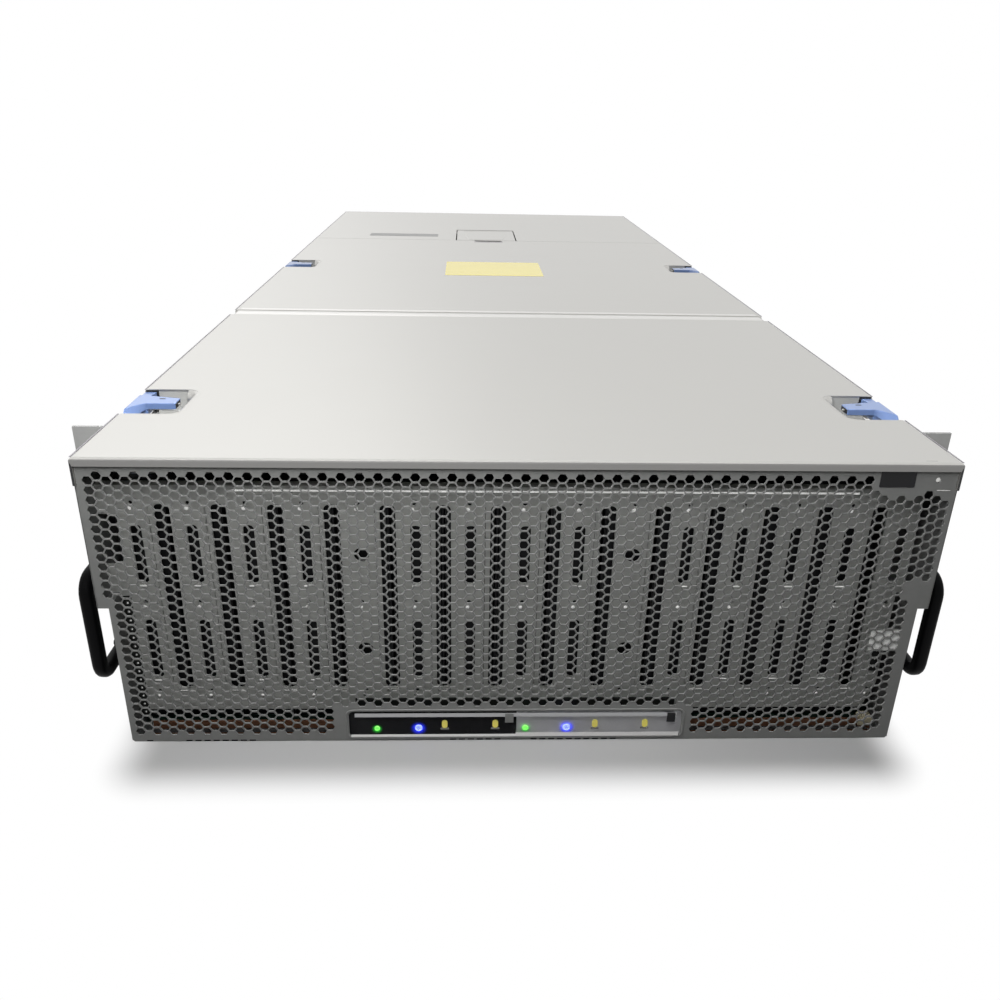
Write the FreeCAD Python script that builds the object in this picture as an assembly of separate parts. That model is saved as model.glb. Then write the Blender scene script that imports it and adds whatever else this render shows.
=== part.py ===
import FreeCAD, Part
import math
import os

# Four-unit rack storage server with top-loaded drives.
# Lengths are millimetres. X runs to the right seen from the front and Z runs up.
# Pieces are drawn with Y counted from the front lip towards the back, and
# save() shifts them so that the origin is the middle of the base.

# Case
COVER_WIDTH = 447.0
UPPER_WIDTH = 443.0
LOWER_WIDTH = 434.0
HEIGHT = 173.0
COVER_DEPTH = 1090.0
TOTAL_DEPTH = 1098.0
WALL_DEPTH = 1084.0
STEP_HEIGHT = 88.5
SHEET = 1.2
BEND = 1.8
RUNNING_GAP = 0.3
PIN_GAP = 0.06
PIN_SIDES = 12
UPPER_INSIDE = UPPER_WIDTH / 2 - SHEET
LOWER_INSIDE = LOWER_WIDTH / 2 - SHEET
UNDER_COVER = HEIGHT - SHEET

# Front panel with its hexagonal holes
PANEL_FRONT = 1.5
PANEL_BACK = PANEL_FRONT + SHEET
PANEL_TOP = 170.5
HEX_PITCH = 31.5
HEX_WEB = 3.8
FIELD_TOP = 167.0
FIELD_BOTTOM = 5.0
FIELD_EDGE = 4.0
FIELD_CORNER = (178.0, 157.0)
NOTCH_SOLID = (206.0, 104.0)

# Indicator window
WINDOW_HALF = 95.0
WINDOW_BOTTOM = 1.5
WINDOW_TOP = 22.0
WINDOW_CHAMFER = 1.6
WINDOW_PROUD = 0.7
WINDOW_FRAME = 5.0
WINDOW_THICK = 2.6
LED_ACROSS = 3.2
LED_SET_PITCH = 85.0
GREEN_LED = (-79.5, 9.5)
BLUE_LED = (-55.8, 10.0)
AMBER_LEDS = ((-40.6, 12.3), (-11.6, 12.5))
INSERT_FRONT = PANEL_BACK + 1.6
INSERT_THICK = 1.0
LED_PROUD = 0.6
LED_ROOM = 0.2
BOARD_THICK = 1.6
INDICATOR_BOARD_FRONT = 10.0

# Slotted plate behind the front panel, and the drive columns behind its slots
BAFFLE_FRONT = 15.0
BAFFLE_BOTTOM = 12.0
BAFFLE_TOP = 153.3
BAFFLE_FOOT = 10.0
BAFFLE_NOTCH = (-211.0, 106.5, 136.0)
BAFFLE_FLANGE = 5.0
BAFFLE_RIGHT = 210.0
COLUMN_PITCH = 29.15
FIRST_COLUMN = -202.0
COLUMNS = 14
BLANK_COLUMNS = (4, 9)
LONG_SLOT = (8.0, 29.0, 139.0)
UPPER_SLOT = (6.0, 95.0, 127.0)
LOWER_SLOT = (6.0, 34.0, 72.0)
PEEP_ACROSS = 8.0
STRIP = (6.0, 11.0, 7.5)

# Drives
DRIVE_THICK = 26.1
DRIVE_LONG = 101.6
DRIVE_TALL = 147.0
DRIVE_ROWS = 6
ROWS_PER_BAY = 3
FIRST_ROW = 22.0
ROW_PITCH = 106.5
BACKPLANE_THICK = 2.0
BACKPLANE_TOP = SHEET + BACKPLANE_THICK
DIVIDER_TALL = 140.0

# Rack ears and pull handles
EAR_WIDTH = 482.6
EAR_FRONT = 49.0
EAR_THICK = 2.0
EAR_BOTTOM = 4.0
EAR_TOP = 172.0
EAR_INNER = 225.5
EAR_RADIUS = 2.5
EAR_FOOT = (10.0, 84.0)
EAR_FOOT_DEPTH = 46.0
SLOT_SPREAD = 465.1
SLOT_RISE = 133.35
SLOT_LONG = 10.3
SLOT_WIDE = 6.8
HANDLE_X = 233.4
HANDLE_BAR = 7.6
HANDLE_FRONT = 10.0
HANDLE_BOTTOM = 31.5
HANDLE_TOP = 100.0
HANDLE_RADIUS = 13.0

# Covers
FLANGE_DROP = 15.0
LIP_DROP = 4.6
FRONT_COVER_END = 325.0
CROSSBAR = (325.4, 342.6)
CROSSBAR_BOTTOM = 160.0
CROSSBAR_RADIUS = 0.9
MID_COVER = (343.0, 780.6)
REAR_COVER_START = 781.4
REAR_LIP_DROP = 9.0

# Cover latches at the side edges
LATCH_STARTS = {"front": 68.0, "mid": 558.0}
LATCH_LONG = 46.0
POCKET_INNER = 190.0
POCKET_FLOOR = 161.2
POCKET_RADIUS = 7.0
POCKET_WALL_END = 219.8
POCKET_FLOOR_END = 207.5
LATCH_AXIS = (216.0, 167.0)
LATCH_PIN = 2.0
LATCH_BARREL = 3.6
LATCH_OUTER = 223.2
LATCH_TIP = 195.5
LATCH_ARM = (19.5, 30.5)
LATCH_BODY = 36.0
LATCH_ARM_BOTTOM = 169.0
LATCH_TOP = 172.7
LATCH_FILLET = 7.0
LATCH_CHAMFER = 2.0
LATCH_BEVEL = 2.0

# Paddle latch of the rear cover
PADDLE = (-42.5, 33.5)
PADDLE_FRONT = 783.5
PADDLE_AXIS = (878.0, 168.5)
PADDLE_KNUCKLE = 2.6
PADDLE_PIN = 2.0
PADDLE_THICK = 2.0
PADDLE_FLOOR = 163.0
PADDLE_ROOM = 1.5
PADDLE_LIP = 6.0
SCOOP = (-20.0, 16.0, 9.5)

# Fans
FANS = 4
FAN_PITCH = 104.0
FAN_SIZE = 92.0
FAN_DEPTH = 38.0
FAN_BORE = 44.5
FAN_HUB = 19.0
FAN_TIP = 42.0
FAN_BLADES = 5
FAN_BLADE_THICK = 1.8
FAN_SIDES = 12
FAN_TWIST = 38.0
FAN_STRUT = 5.0
FAN_HEIGHT = 84.0
FAN_WALL_FRONT = 672.0
FAN_WALL_TOP = 158.0
FAN_FRONT = FAN_WALL_FRONT + SHEET

# Rear bays
MIDPLANE_FRONT = 772.0
MIDPLANE_TOP = 158.0
MIDPLANE_OPENING = (76.0, 42.0)
MIDPLANE_RISES = (48.0, 108.0)
SHELF_START = 790.0
SHELVES = {"lower": 42.5, "upper": 103.0}
BAY_FACE = 1070.0

# Server sleds
SLED_HALF = 214.0
SLED_START = 795.0
SLED_TALL = 58.0
SLED_FLOORS = {1: SHELVES["upper"] + SHEET + RUNNING_GAP, 2: SHELVES["lower"] + SHEET + RUNNING_GAP}
SLED_BOARD_RISE = 5.0
SLED_BOARD_HALF = 204.0
SLED_BOARD_DEPTH = 262.0
STANDOFF = 6.0
SINK_CENTRES = (-92.0, 92.0)
SINK_WIDE = 84.0
SINK_LONG = 96.0
SINK_BASE = 5.0
SINK_TALL = 36.0
SINK_FINS = 8
SINK_FIN = 2.0
SINK_FRONT = 860.0
MEMORY_PITCH = 10.0
MEMORY_THICK = 2.2
MEMORY_LONG = 133.4
MEMORY_TALL = 32.0
MEMORY_FRONT = 842.0
MEMORY_BANKS = (-184.0, -32.0, 152.0)
MEMORY_PER_BANK = 4
VENT_SLOT = (8.0, 34.0)
VENT_PITCH = 17.0
VENT_FIELDS = ((-192.0, 6), (24.0, 6))
JACKS = ((-74.0, 16.0, 13.5), (-54.0, 16.0, 13.5), (-33.0, 13.0, 6.5), (-5.0, 30.0, 11.0))
JACK_DEPTH = 18.0
JACK_MOUTH = 3.5
JACK_WALL = 1.0
BUTTON_PLACE = (-203.0, 42.0)
BUTTON_HALF = 4.0
BUTTON_PROUD = 2.2
LEVER_AXIS = (206.0, 1079.0)
LEVER_RISE = 29.0
LEVER_HALF = 9.0
LEVER_PIN = 2.0
LEVER_BARREL = 4.2
LEVER_LONG = 66.0
LEVER_BACK = 3.2
LEVER_FLARE = 26.0
LUG_CHAMFER = 2.0

# Power supplies
PSU_WIDE = 86.0
PSU_TALL = 40.0
PSU_START = 806.0
PSU_LEFT_EDGES = {1: -212.0, 2: 126.0}
PSU_BOTTOM = SHEET + RUNNING_GAP
PSU_FAN = (21.0, 20.0, 16.0, 2.0)
PSU_FAN_SIDES = 16
PSU_HANDLE = (40.0, 46.0)
PSU_HANDLE_RISE = (4.5, 35.5)
PSU_HANDLE_BAR = 6.0
PSU_HANDLE_CHAMFER = 5.0
PSU_INLET = (52.0, 79.0, 9.5, 29.5)
PSU_INLET_DEPTH = 16.0
PSU_SLOT = (52.0, 72.0, 33.0, 37.6)
PSU_SLOT_DEPTH = 6.0
PSU_LATCH_WIDE = 12.0
PSU_LATCH_REACH = 9.0
PSU_LATCH_CHAMFER = 1.4
VENT_PANEL_HALF = 124.0


def vec(x, y, z):
    """Return a point."""
    return FreeCAD.Vector(x, y, z)


def box(x, y, z):
    """Return a block from three pairs of limits."""
    return Part.makeBox(x[1] - x[0], y[1] - y[0], z[1] - z[0], vec(x[0], y[0], z[0]))


def rod_y(x, z, radius, y):
    """Return a round bar along Y."""
    return Part.makeCylinder(radius, y[1] - y[0], vec(x, y[0], z), vec(0, 1, 0))


def loop(points):
    """Return a closed wire through the points."""
    return Part.makePolygon(points + points[:1])


def pin_bar(start, along, radius):
    """Return a pin with flats from a point along an axis, its corners at the radius."""
    side = vec(along.y, along.z, along.x).normalize()
    other = side.cross(along).normalize()
    corners = []
    for corner in range(PIN_SIDES):
        turn = 2 * math.pi * corner / PIN_SIDES
        corners.append(start + side * (radius * math.cos(turn)) + other * (radius * math.sin(turn)))
    return Part.Face(loop(corners)).extrude(along)


def pin_bore(start, along, radius):
    """Return the hole that a pin of this radius turns in."""
    return pin_bar(start, along, (radius + PIN_GAP) / math.cos(math.pi / PIN_SIDES))


def polygon(x, z, reach, sides, y):
    """Return a regular polygon that stands across Y with a corner to the right."""
    turns = [2 * math.pi * corner / sides for corner in range(sides)]
    return loop([vec(x + reach * math.cos(turn), y, z + reach * math.sin(turn)) for turn in turns])


def hexagon(x, z, across, y):
    """Return a hexagon that stands across Y with points to the left and right."""
    return polygon(x, z, across / math.sqrt(3), 6, y)


def rectangle(x, z, y):
    """Return a rectangle that stands across Y."""
    return loop([vec(x[0], y, z[0]), vec(x[1], y, z[0]), vec(x[1], y, z[1]), vec(x[0], y, z[1])])


def sheet_across_y(wires, y):
    """Return an upright plate whose outline and holes are the wires."""
    face = Part.makeFace(Part.makeCompound(wires), "Part::FaceMakerBullseye")
    return face.extrude(vec(0, y[1] - y[0], 0))


def along_y(points, y):
    """Return a bar along Y from the (x, z) corners of its section."""
    face = Part.Face(loop([vec(x, y[0], z) for x, z in points]))
    return face.extrude(vec(0, y[1] - y[0], 0))


def along_x(points, x):
    """Return a bar along X from the (y, z) corners of its section."""
    face = Part.Face(loop([vec(x[0], y, z) for y, z in points]))
    return face.extrude(vec(x[1] - x[0], 0, 0))


def fuse(pieces):
    """Return the pieces joined into one solid."""
    return pieces[0].multiFuse(pieces[1:]).removeSplitter()


def edges_along(shape, axis, test):
    """Return the straight edges along an axis whose middle passes the test."""
    found = []
    for edge in shape.Edges:
        if len(edge.Vertexes) != 2:
            continue
        way = edge.Vertexes[1].Point - edge.Vertexes[0].Point
        if abs(abs(way.normalize().dot(axis)) - 1) < 1e-6 and test(edge.CenterOfMass):
            found.append(edge)
    return found


def mirrored(shape):
    """Return the piece for the other side."""
    return shape.mirror(vec(0, 0, 0), vec(1, 0, 0))


def save(name, solids):
    """Write one sub-part in the part's own frame."""
    piece = solids[0] if len(solids) == 1 else Part.makeCompound(solids)
    piece = piece.copy()
    piece.translate(vec(0, -TOTAL_DEPTH / 2, 0))
    piece.exportStep(os.path.join("parts", name + ".step"))


def column_x(index):
    """Return the middle of a drive column."""
    return FIRST_COLUMN + COLUMN_PITCH * index


def chassis_floor():
    """The flat base sheet."""
    half = LOWER_WIDTH / 2
    return box((-half, half), (PANEL_BACK, WALL_DEPTH), (0, SHEET))


def side_wall():
    """The right wall, narrow below for the rack rail and wide above, open at the latches."""
    lower = LOWER_WIDTH / 2
    upper = UPPER_WIDTH / 2
    step = STEP_HEIGHT + SHEET
    section = [(lower, SHEET), (lower, STEP_HEIGHT), (upper, STEP_HEIGHT), (upper, UNDER_COVER)]
    section += [(UPPER_INSIDE, UNDER_COVER), (UPPER_INSIDE, step)]
    section += [(LOWER_INSIDE, step), (LOWER_INSIDE, SHEET)]
    wall = along_y(section, (PANEL_BACK, WALL_DEPTH))
    notches = []
    for start in LATCH_STARTS.values():
        room = (start - 2 * SHEET, start + LATCH_LONG + 2 * SHEET)
        notches.append(box((UPPER_INSIDE - 1, upper + 1), room, (HEIGHT - FLANGE_DROP, HEIGHT)))
    return wall.cut(notches)


def hole_allowed(x, z, reach):
    """Say whether a hexagonal hole fits the perforated field of the front panel."""
    half = (UPPER_WIDTH if z - reach > STEP_HEIGHT else LOWER_WIDTH) / 2 - FIELD_EDGE
    if abs(x) + reach > half or z + reach > FIELD_TOP or z - reach < FIELD_BOTTOM:
        return False
    if x + reach > FIELD_CORNER[0] and z + reach > FIELD_CORNER[1]:
        return False
    if abs(x) + reach > NOTCH_SOLID[0] and STEP_HEIGHT < z + reach and z - reach < NOTCH_SOLID[1]:
        return False
    near_window = abs(x) - reach < WINDOW_HALF + WINDOW_FRAME
    return not (near_window and z - reach < WINDOW_TOP + WINDOW_FRAME)


def front_grille():
    """The stepped front panel with its field of hexagonal holes and the indicator opening."""
    upper = UPPER_WIDTH / 2
    lower = LOWER_WIDTH / 2
    corners = [(-lower, 0), (lower, 0), (lower, STEP_HEIGHT), (upper, STEP_HEIGHT)]
    corners += [(upper, PANEL_TOP), (-upper, PANEL_TOP), (-upper, STEP_HEIGHT), (-lower, STEP_HEIGHT)]
    wires = [loop([vec(x, PANEL_FRONT, z) for x, z in corners])]
    wires.append(rectangle((-WINDOW_HALF, WINDOW_HALF), (WINDOW_BOTTOM, WINDOW_TOP), PANEL_FRONT))
    across = HEX_PITCH - HEX_WEB
    step = HEX_PITCH * math.sqrt(3) / 2
    reach = across / 2
    columns = int(upper / step)
    for column in range(-columns, columns + 1):
        rise = FIELD_TOP - reach - (HEX_PITCH / 2 if column % 2 else 0)
        while rise > 0:
            if hole_allowed(column * step, rise, reach):
                wires.append(hexagon(column * step, rise, across, PANEL_FRONT))
            rise -= HEX_PITCH
    return sheet_across_y(wires, (PANEL_FRONT, PANEL_BACK))


def front_baffle():
    """The plate behind the grille, slotted between and in front of the drive columns."""
    right = BAFFLE_RIGHT
    edge, low, high = BAFFLE_NOTCH
    step = STEP_HEIGHT + SHEET
    outline = [(-LOWER_INSIDE, BAFFLE_BOTTOM), (right, BAFFLE_BOTTOM), (right, BAFFLE_TOP)]
    outline += [(-UPPER_INSIDE, BAFFLE_TOP), (-UPPER_INSIDE, high), (edge, high), (edge, low)]
    outline += [(-UPPER_INSIDE, low), (-UPPER_INSIDE, step), (-LOWER_INSIDE, step)]
    wires = [loop([vec(x, BAFFLE_FRONT, z) for x, z in outline])]
    for index in range(COLUMNS):
        middle = column_x(index)
        slots = [(middle, UPPER_SLOT), (middle, LOWER_SLOT)]
        if index in BLANK_COLUMNS:
            slots = []
            wires += [hexagon(middle, sum(slot[1:]) / 2, PEEP_ACROSS, BAFFLE_FRONT)
                      for slot in (UPPER_SLOT, LOWER_SLOT)]
        if index < COLUMNS - 1:
            slots.append((middle + COLUMN_PITCH / 2, LONG_SLOT))
        for x, (width, low, high) in slots:
            wires.append(rectangle((x - width / 2, x + width / 2), (low, high), BAFFLE_FRONT))
    plate = sheet_across_y(wires, (BAFFLE_FRONT, BAFFLE_FRONT + SHEET))
    back = BAFFLE_FRONT + SHEET + BAFFLE_FLANGE
    flange = box((-UPPER_INSIDE, right), (BAFFLE_FRONT, back), (BAFFLE_TOP, BAFFLE_TOP + SHEET))
    feet = []
    for x in ((-LOWER_INSIDE, BAFFLE_FOOT - LOWER_INSIDE), (right - BAFFLE_FOOT, right)):
        feet.append(box(x, (BAFFLE_FRONT, BAFFLE_FRONT + SHEET), (SHEET, BAFFLE_BOTTOM)))
    return fuse([plate, flange] + feet)


def rack_ear():
    """The right rack ear: a slotted plate on an angled foot against the lower wall."""
    back = EAR_FRONT + EAR_THICK
    plate = box((EAR_INNER, EAR_WIDTH / 2), (EAR_FRONT, back), (EAR_BOTTOM, EAR_TOP))
    corners = edges_along(plate, vec(0, 1, 0), lambda middle: middle.x > EAR_WIDTH / 2 - 1)
    plate = plate.makeFillet(EAR_RADIUS, corners)
    web = box((LOWER_WIDTH / 2, EAR_INNER), (EAR_FRONT, back), EAR_FOOT)
    against = (LOWER_WIDTH / 2, LOWER_WIDTH / 2 + EAR_THICK)
    flange = box(against, (EAR_FRONT, EAR_FRONT + EAR_FOOT_DEPTH), EAR_FOOT)
    ear = fuse([plate, web, flange])
    through = (EAR_FRONT - 1, back + 1)
    middle = HEIGHT / 2
    tools = []
    for rise in (middle - SLOT_RISE / 2, middle + SLOT_RISE / 2):
        half = (SLOT_LONG - SLOT_WIDE) / 2
        x = SLOT_SPREAD / 2
        tools.append(box((x - half, x + half), through, (rise - SLOT_WIDE / 2, rise + SLOT_WIDE / 2)))
        tools += [rod_y(x + side * half, rise, SLOT_WIDE / 2, through) for side in (-1, 1)]
    return ear.cut(tools)


def handle():
    """The right pull handle: a bent bar with both ends against the ear."""
    x = (HANDLE_X - HANDLE_BAR / 2, HANDLE_X + HANDLE_BAR / 2)
    reach = (HANDLE_FRONT, EAR_FRONT)
    block = box(x, reach, (HANDLE_BOTTOM, HANDLE_TOP))
    at_front = edges_along(block, vec(1, 0, 0), lambda middle: middle.y < HANDLE_FRONT + 1)
    block = block.makeFillet(HANDLE_RADIUS, at_front)
    inside = (HANDLE_FRONT + HANDLE_BAR, EAR_FRONT + 1)
    gap = box((x[0] - 1, x[1] + 1), inside, (HANDLE_BOTTOM + HANDLE_BAR, HANDLE_TOP - HANDLE_BAR))
    at_front = edges_along(gap, vec(1, 0, 0), lambda middle: middle.y < inside[0] + 1)
    return block.cut(gap.makeFillet(HANDLE_RADIUS - HANDLE_BAR, at_front))


def led_places(first):
    """Return the two places of an indicator, one in each half of the window."""
    return [first, (first[0] + LED_SET_PITCH, first[1])]


def indicator_window():
    """The clear front of the indicator strip."""
    gap = RUNNING_GAP / 2
    x = (-WINDOW_HALF + gap, WINDOW_HALF - gap)
    z = (WINDOW_BOTTOM + gap, WINDOW_TOP - gap)
    front = PANEL_FRONT - WINDOW_PROUD
    window = box(x, (front, front + WINDOW_THICK), z)
    return window.makeChamfer(WINDOW_CHAMFER, edges_along(window, vec(0, 1, 0), lambda middle: True))


def indicator_insert(side, leds):
    """One half of the printed plate behind the window, pierced for its lights."""
    x = sorted((side * 0.3, side * (WINDOW_HALF - 1)))
    wires = [rectangle(x, (SHEET, WINDOW_TOP - 0.5), INSERT_FRONT)]
    wires += [hexagon(px, pz, LED_ACROSS + LED_ROOM, INSERT_FRONT) for px, pz in leds if x[0] < px < x[1]]
    return sheet_across_y(wires, (INSERT_FRONT, INSERT_FRONT + INSERT_THICK))


def led_group(places):
    """Six-sided light pipes from the indicator board to the window."""
    front = INSERT_FRONT - LED_PROUD
    length = (front, INDICATOR_BOARD_FRONT)
    return [sheet_across_y([hexagon(x, z, LED_ACROSS, front)], length) for x, z in places]


def indicator_board():
    """The small upright board that carries the lights."""
    back = INDICATOR_BOARD_FRONT + BOARD_THICK
    return box((-WINDOW_HALF + 3, WINDOW_HALF - 3), (INDICATOR_BOARD_FRONT, back), (SHEET, WINDOW_TOP))


def grounding_strips():
    """Two copper spring strips behind the lowest holes."""
    strips = []
    front, back, top = STRIP
    section = [(front, SHEET), (back, SHEET), (back, top), (back - SHEET, top)]
    section += [(back - SHEET, 2 * SHEET), (front, 2 * SHEET)]
    for side in (-1, 1):
        ends = sorted((side * (WINDOW_HALF + 6), side * (LOWER_INSIDE - 8)))
        strips.append(along_x(section, ends))
    return strips


def drive_rows(rows):
    """The drives of some rows, each standing on the backplane."""
    drives = []
    for row in rows:
        start = FIRST_ROW + ROW_PITCH * row
        for index in range(COLUMNS):
            x = (column_x(index) - DRIVE_THICK / 2, column_x(index) + DRIVE_THICK / 2)
            drive = box(x, (start, start + DRIVE_LONG), (BACKPLANE_TOP, BACKPLANE_TOP + DRIVE_TALL))
            drives.append(drive)
    return drives


def bay_length(bay):
    """Return the front and back of the backplane under one group of drive rows."""
    start = FIRST_ROW + ROW_PITCH * ROWS_PER_BAY * bay - 3
    return (start, start + ROW_PITCH * ROWS_PER_BAY - 1)


def backplane(bay):
    """The board under one group of drive rows."""
    return box((-LOWER_INSIDE + 1, LOWER_INSIDE - 1), bay_length(bay), (SHEET, BACKPLANE_TOP))


def drive_dividers():
    """The upright guides between the drive columns."""
    length = (bay_length(0)[0], bay_length(1)[1])
    guides = []
    for index in range(1, COLUMNS + 1):
        x = column_x(index) - COLUMN_PITCH / 2
        guides.append(box((x - 0.5, x + 0.5), length, (BACKPLANE_TOP, BACKPLANE_TOP + DIVIDER_TALL)))
    return guides


def cover_crossbar():
    """The channel beam between the front and mid covers."""
    front, back = CROSSBAR
    top = HEIGHT - 0.2
    section = [(front, CROSSBAR_BOTTOM), (front, top), (back, top), (back, CROSSBAR_BOTTOM)]
    section += [(back - SHEET, CROSSBAR_BOTTOM), (back - SHEET, top - SHEET)]
    section += [(front + SHEET, top - SHEET), (front + SHEET, CROSSBAR_BOTTOM)]
    beam = along_x(section, (-UPPER_INSIDE, UPPER_INSIDE))
    rims = edges_along(beam, vec(1, 0, 0), lambda middle: middle.z > top - 0.01)
    return beam.makeFillet(CROSSBAR_RADIUS, rims)


def cover_shell(y, front_lip, rear_lip):
    """A folded cover sheet with side flanges and, where asked, a lip at either end."""
    half = COVER_WIDTH / 2
    low = HEIGHT - FLANGE_DROP
    shell = box((-half, half), y, (low, HEIGHT))
    rims = edges_along(shell, vec(0, 1, 0), lambda middle: middle.z > HEIGHT - 0.01)
    if front_lip:
        across = edges_along(shell, vec(1, 0, 0), lambda middle: middle.z > HEIGHT - 0.01)
        rims += [edge for edge in across if edge.CenterOfMass.y < y[0] + 0.01]
    shell = shell.makeFillet(BEND, rims)
    inner = (-half + SHEET, half - SHEET)
    front = y[0] + SHEET if front_lip else y[0] - 1
    back = y[1] - SHEET if rear_lip else y[1] + 1
    tools = [box(inner, (front, back), (low - 1, UNDER_COVER))]
    if front_lip:
        tools.append(box(inner, (y[0] - 1, front), (low - 1, HEIGHT - front_lip)))
    if rear_lip:
        tools.append(box(inner, (back, y[1] + 1), (low - 1, HEIGHT - rear_lip)))
    return shell.cut(tools)


def pocket_room(start):
    """The right-hand latch pocket: a recess with rounded inner corners, open below the latch spine."""
    end = start + LATCH_LONG
    beyond = COVER_WIDTH / 2 + 1
    recess = box((POCKET_INNER, beyond), (start, end), (POCKET_FLOOR, HEIGHT + 1))
    corners = edges_along(recess, vec(0, 0, 1), lambda middle: middle.x < POCKET_INNER + 0.01)
    sweep = box((POCKET_FLOOR_END, beyond), (start, end), (HEIGHT - FLANGE_DROP - 1, HEIGHT + 1))
    return [recess.makeFillet(POCKET_RADIUS, corners), sweep]


def pocket_pan(start):
    """The pan under a right-hand latch pocket, bored for the latch pins."""
    end = start + LATCH_LONG
    length = (start - SHEET, end + SHEET)
    pan = box((POCKET_INNER - SHEET, POCKET_WALL_END), length, (POCKET_FLOOR - SHEET, UNDER_COVER))
    x, z = LATCH_AXIS
    bore = pin_bore(vec(x, start - 2 * SHEET, z), vec(0, LATCH_LONG + 4 * SHEET, 0), LATCH_PIN)
    return pan.cut(pocket_room(start) + [bore])


def notched(cover, start):
    """Open a cover over its two latch pockets."""
    rooms = pocket_room(start)
    return cover.cut(rooms + [mirrored(room) for room in rooms])


def welded_strips(cover):
    """Part a cover into its middle sheet and the edge strips welded on before and behind each pocket."""
    middle = box((-POCKET_INNER, POCKET_INNER), (-1, COVER_DEPTH), (0, HEIGHT + 1))
    return cover.common(middle).Solids + cover.cut(middle).Solids


def latch(start):
    """The right-hand cover latch: a thumb lever on a spine with moulded pins."""
    x, z = LATCH_AXIS
    near = start + RUNNING_GAP
    far = start + LATCH_LONG - RUNNING_GAP
    low = start + LATCH_ARM[0]
    high = start + LATCH_ARM[1]
    root = x - LATCH_BARREL
    outline = [(LATCH_TIP, low), (root, low), (root, near)]
    outline += [(LATCH_OUTER, near), (LATCH_OUTER, start + LATCH_BODY), (x, start + LATCH_BODY)]
    outline += [(x - 2 * LATCH_BARREL, high), (LATCH_TIP, high)]
    face = Part.Face(loop([vec(px, py, LATCH_ARM_BOTTOM) for px, py in outline]))
    arm = face.extrude(vec(0, 0, LATCH_TOP - LATCH_ARM_BOTTOM))
    corner = vec(root, low, (LATCH_ARM_BOTTOM + LATCH_TOP) / 2)
    inside = edges_along(arm, vec(0, 0, 1), lambda spot: spot.distanceToPoint(corner) < 0.01)
    arm = arm.makeFillet(LATCH_FILLET, inside)
    tip = edges_along(arm, vec(0, 0, 1), lambda spot: spot.x < LATCH_TIP + 0.01)
    arm = arm.makeChamfer(LATCH_CHAMFER, tip)
    half = LATCH_BARREL / 2
    nose = LATCH_OUTER - x
    spine = [(-LATCH_BARREL, -half), (-half, -LATCH_BARREL), (half, -LATCH_BARREL), (LATCH_BARREL, -half)]
    spine += [(nose, -half), (nose, LATCH_ARM_BOTTOM - z)]
    spine += [(LATCH_BARREL, LATCH_BARREL), (-LATCH_BARREL, LATCH_BARREL)]
    spine = along_y([(x + px, z + pz) for px, pz in spine], (near, far))
    long = vec(0, SHEET + RUNNING_GAP, 0)
    pins = [pin_bar(vec(x, first, z), long, LATCH_PIN) for first in (start - SHEET, far)]
    over = LATCH_TOP + 0.1
    out = LATCH_OUTER + 0.1
    bevel = [(LATCH_OUTER - LATCH_BEVEL, over), (out, over), (out, LATCH_TOP - LATCH_BEVEL)]
    arm = arm.cut(along_y(bevel, (start - 3, start + LATCH_LONG)))
    return fuse([arm, spine] + pins)


def front_cover():
    """The front cover with its lip, open over two latch pockets."""
    cover = cover_shell((0, FRONT_COVER_END), LIP_DROP, 0)
    return welded_strips(notched(cover, LATCH_STARTS["front"]))


def mid_cover():
    """The mid cover, open over two latch pockets, with the finger scoop in its rear edge."""
    cover = notched(cover_shell(MID_COVER, 0, 0), LATCH_STARTS["mid"])
    left, right, depth = SCOOP
    scoop = box((left, right), (MID_COVER[1] - depth, MID_COVER[1] + 5), (UNDER_COVER - 1, HEIGHT + 1))
    corners = edges_along(scoop, vec(0, 0, 1), lambda middle: middle.y < MID_COVER[1])
    return welded_strips(cover.cut(scoop.makeFillet(depth * 0.7, corners)))


def rear_cover():
    """The rear cover with the shallow pan of its paddle latch."""
    cover = cover_shell((REAR_COVER_START, COVER_DEPTH), 0, REAR_LIP_DROP)
    left, right = PADDLE[0] - PADDLE_ROOM, PADDLE[1] + PADDLE_ROOM
    back = PADDLE_AXIS[0] + PADDLE_LIP
    low = PADDLE_FLOOR - SHEET
    pan = box((left - SHEET, right + SHEET), (REAR_COVER_START, back + SHEET), (low, HEIGHT - SHEET / 2))
    room = box((left, right), (REAR_COVER_START - 1, back), (PADDLE_FLOOR, HEIGHT + 1))
    y, z = PADDLE_AXIS
    bore = pin_bore(vec(left - 2 * SHEET, y, z), vec(right - left + 4 * SHEET, 0, 0), PADDLE_PIN)
    return fuse([cover, pan]).cut([room, bore])


def rear_cover_latch():
    """The paddle that lifts at its front edge and turns on pins at its back."""
    y, z = PADDLE_AXIS
    top = HEIGHT - 0.2
    low = top - PADDLE_THICK
    front = PADDLE_FRONT
    back = y + PADDLE_KNUCKLE
    section = [(front, top), (front, top - PADDLE_LIP), (front + PADDLE_THICK, top - PADDLE_LIP)]
    section += [(front + PADDLE_THICK, low), (y - 2 * PADDLE_KNUCKLE, low)]
    section += [(y - PADDLE_KNUCKLE, z - PADDLE_KNUCKLE), (back, z - PADDLE_KNUCKLE), (back, top)]
    plate = along_x(section, PADDLE)
    long = vec(PADDLE_ROOM + SHEET, 0, 0)
    pins = [pin_bar(vec(first, y, z), long, PADDLE_PIN) for first in (PADDLE[0] - long.x, PADDLE[1])]
    return fuse([plate] + pins)


def fan_x(index):
    """Return the middle of a fan."""
    return (index - (FANS - 1) / 2) * FAN_PITCH


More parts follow.
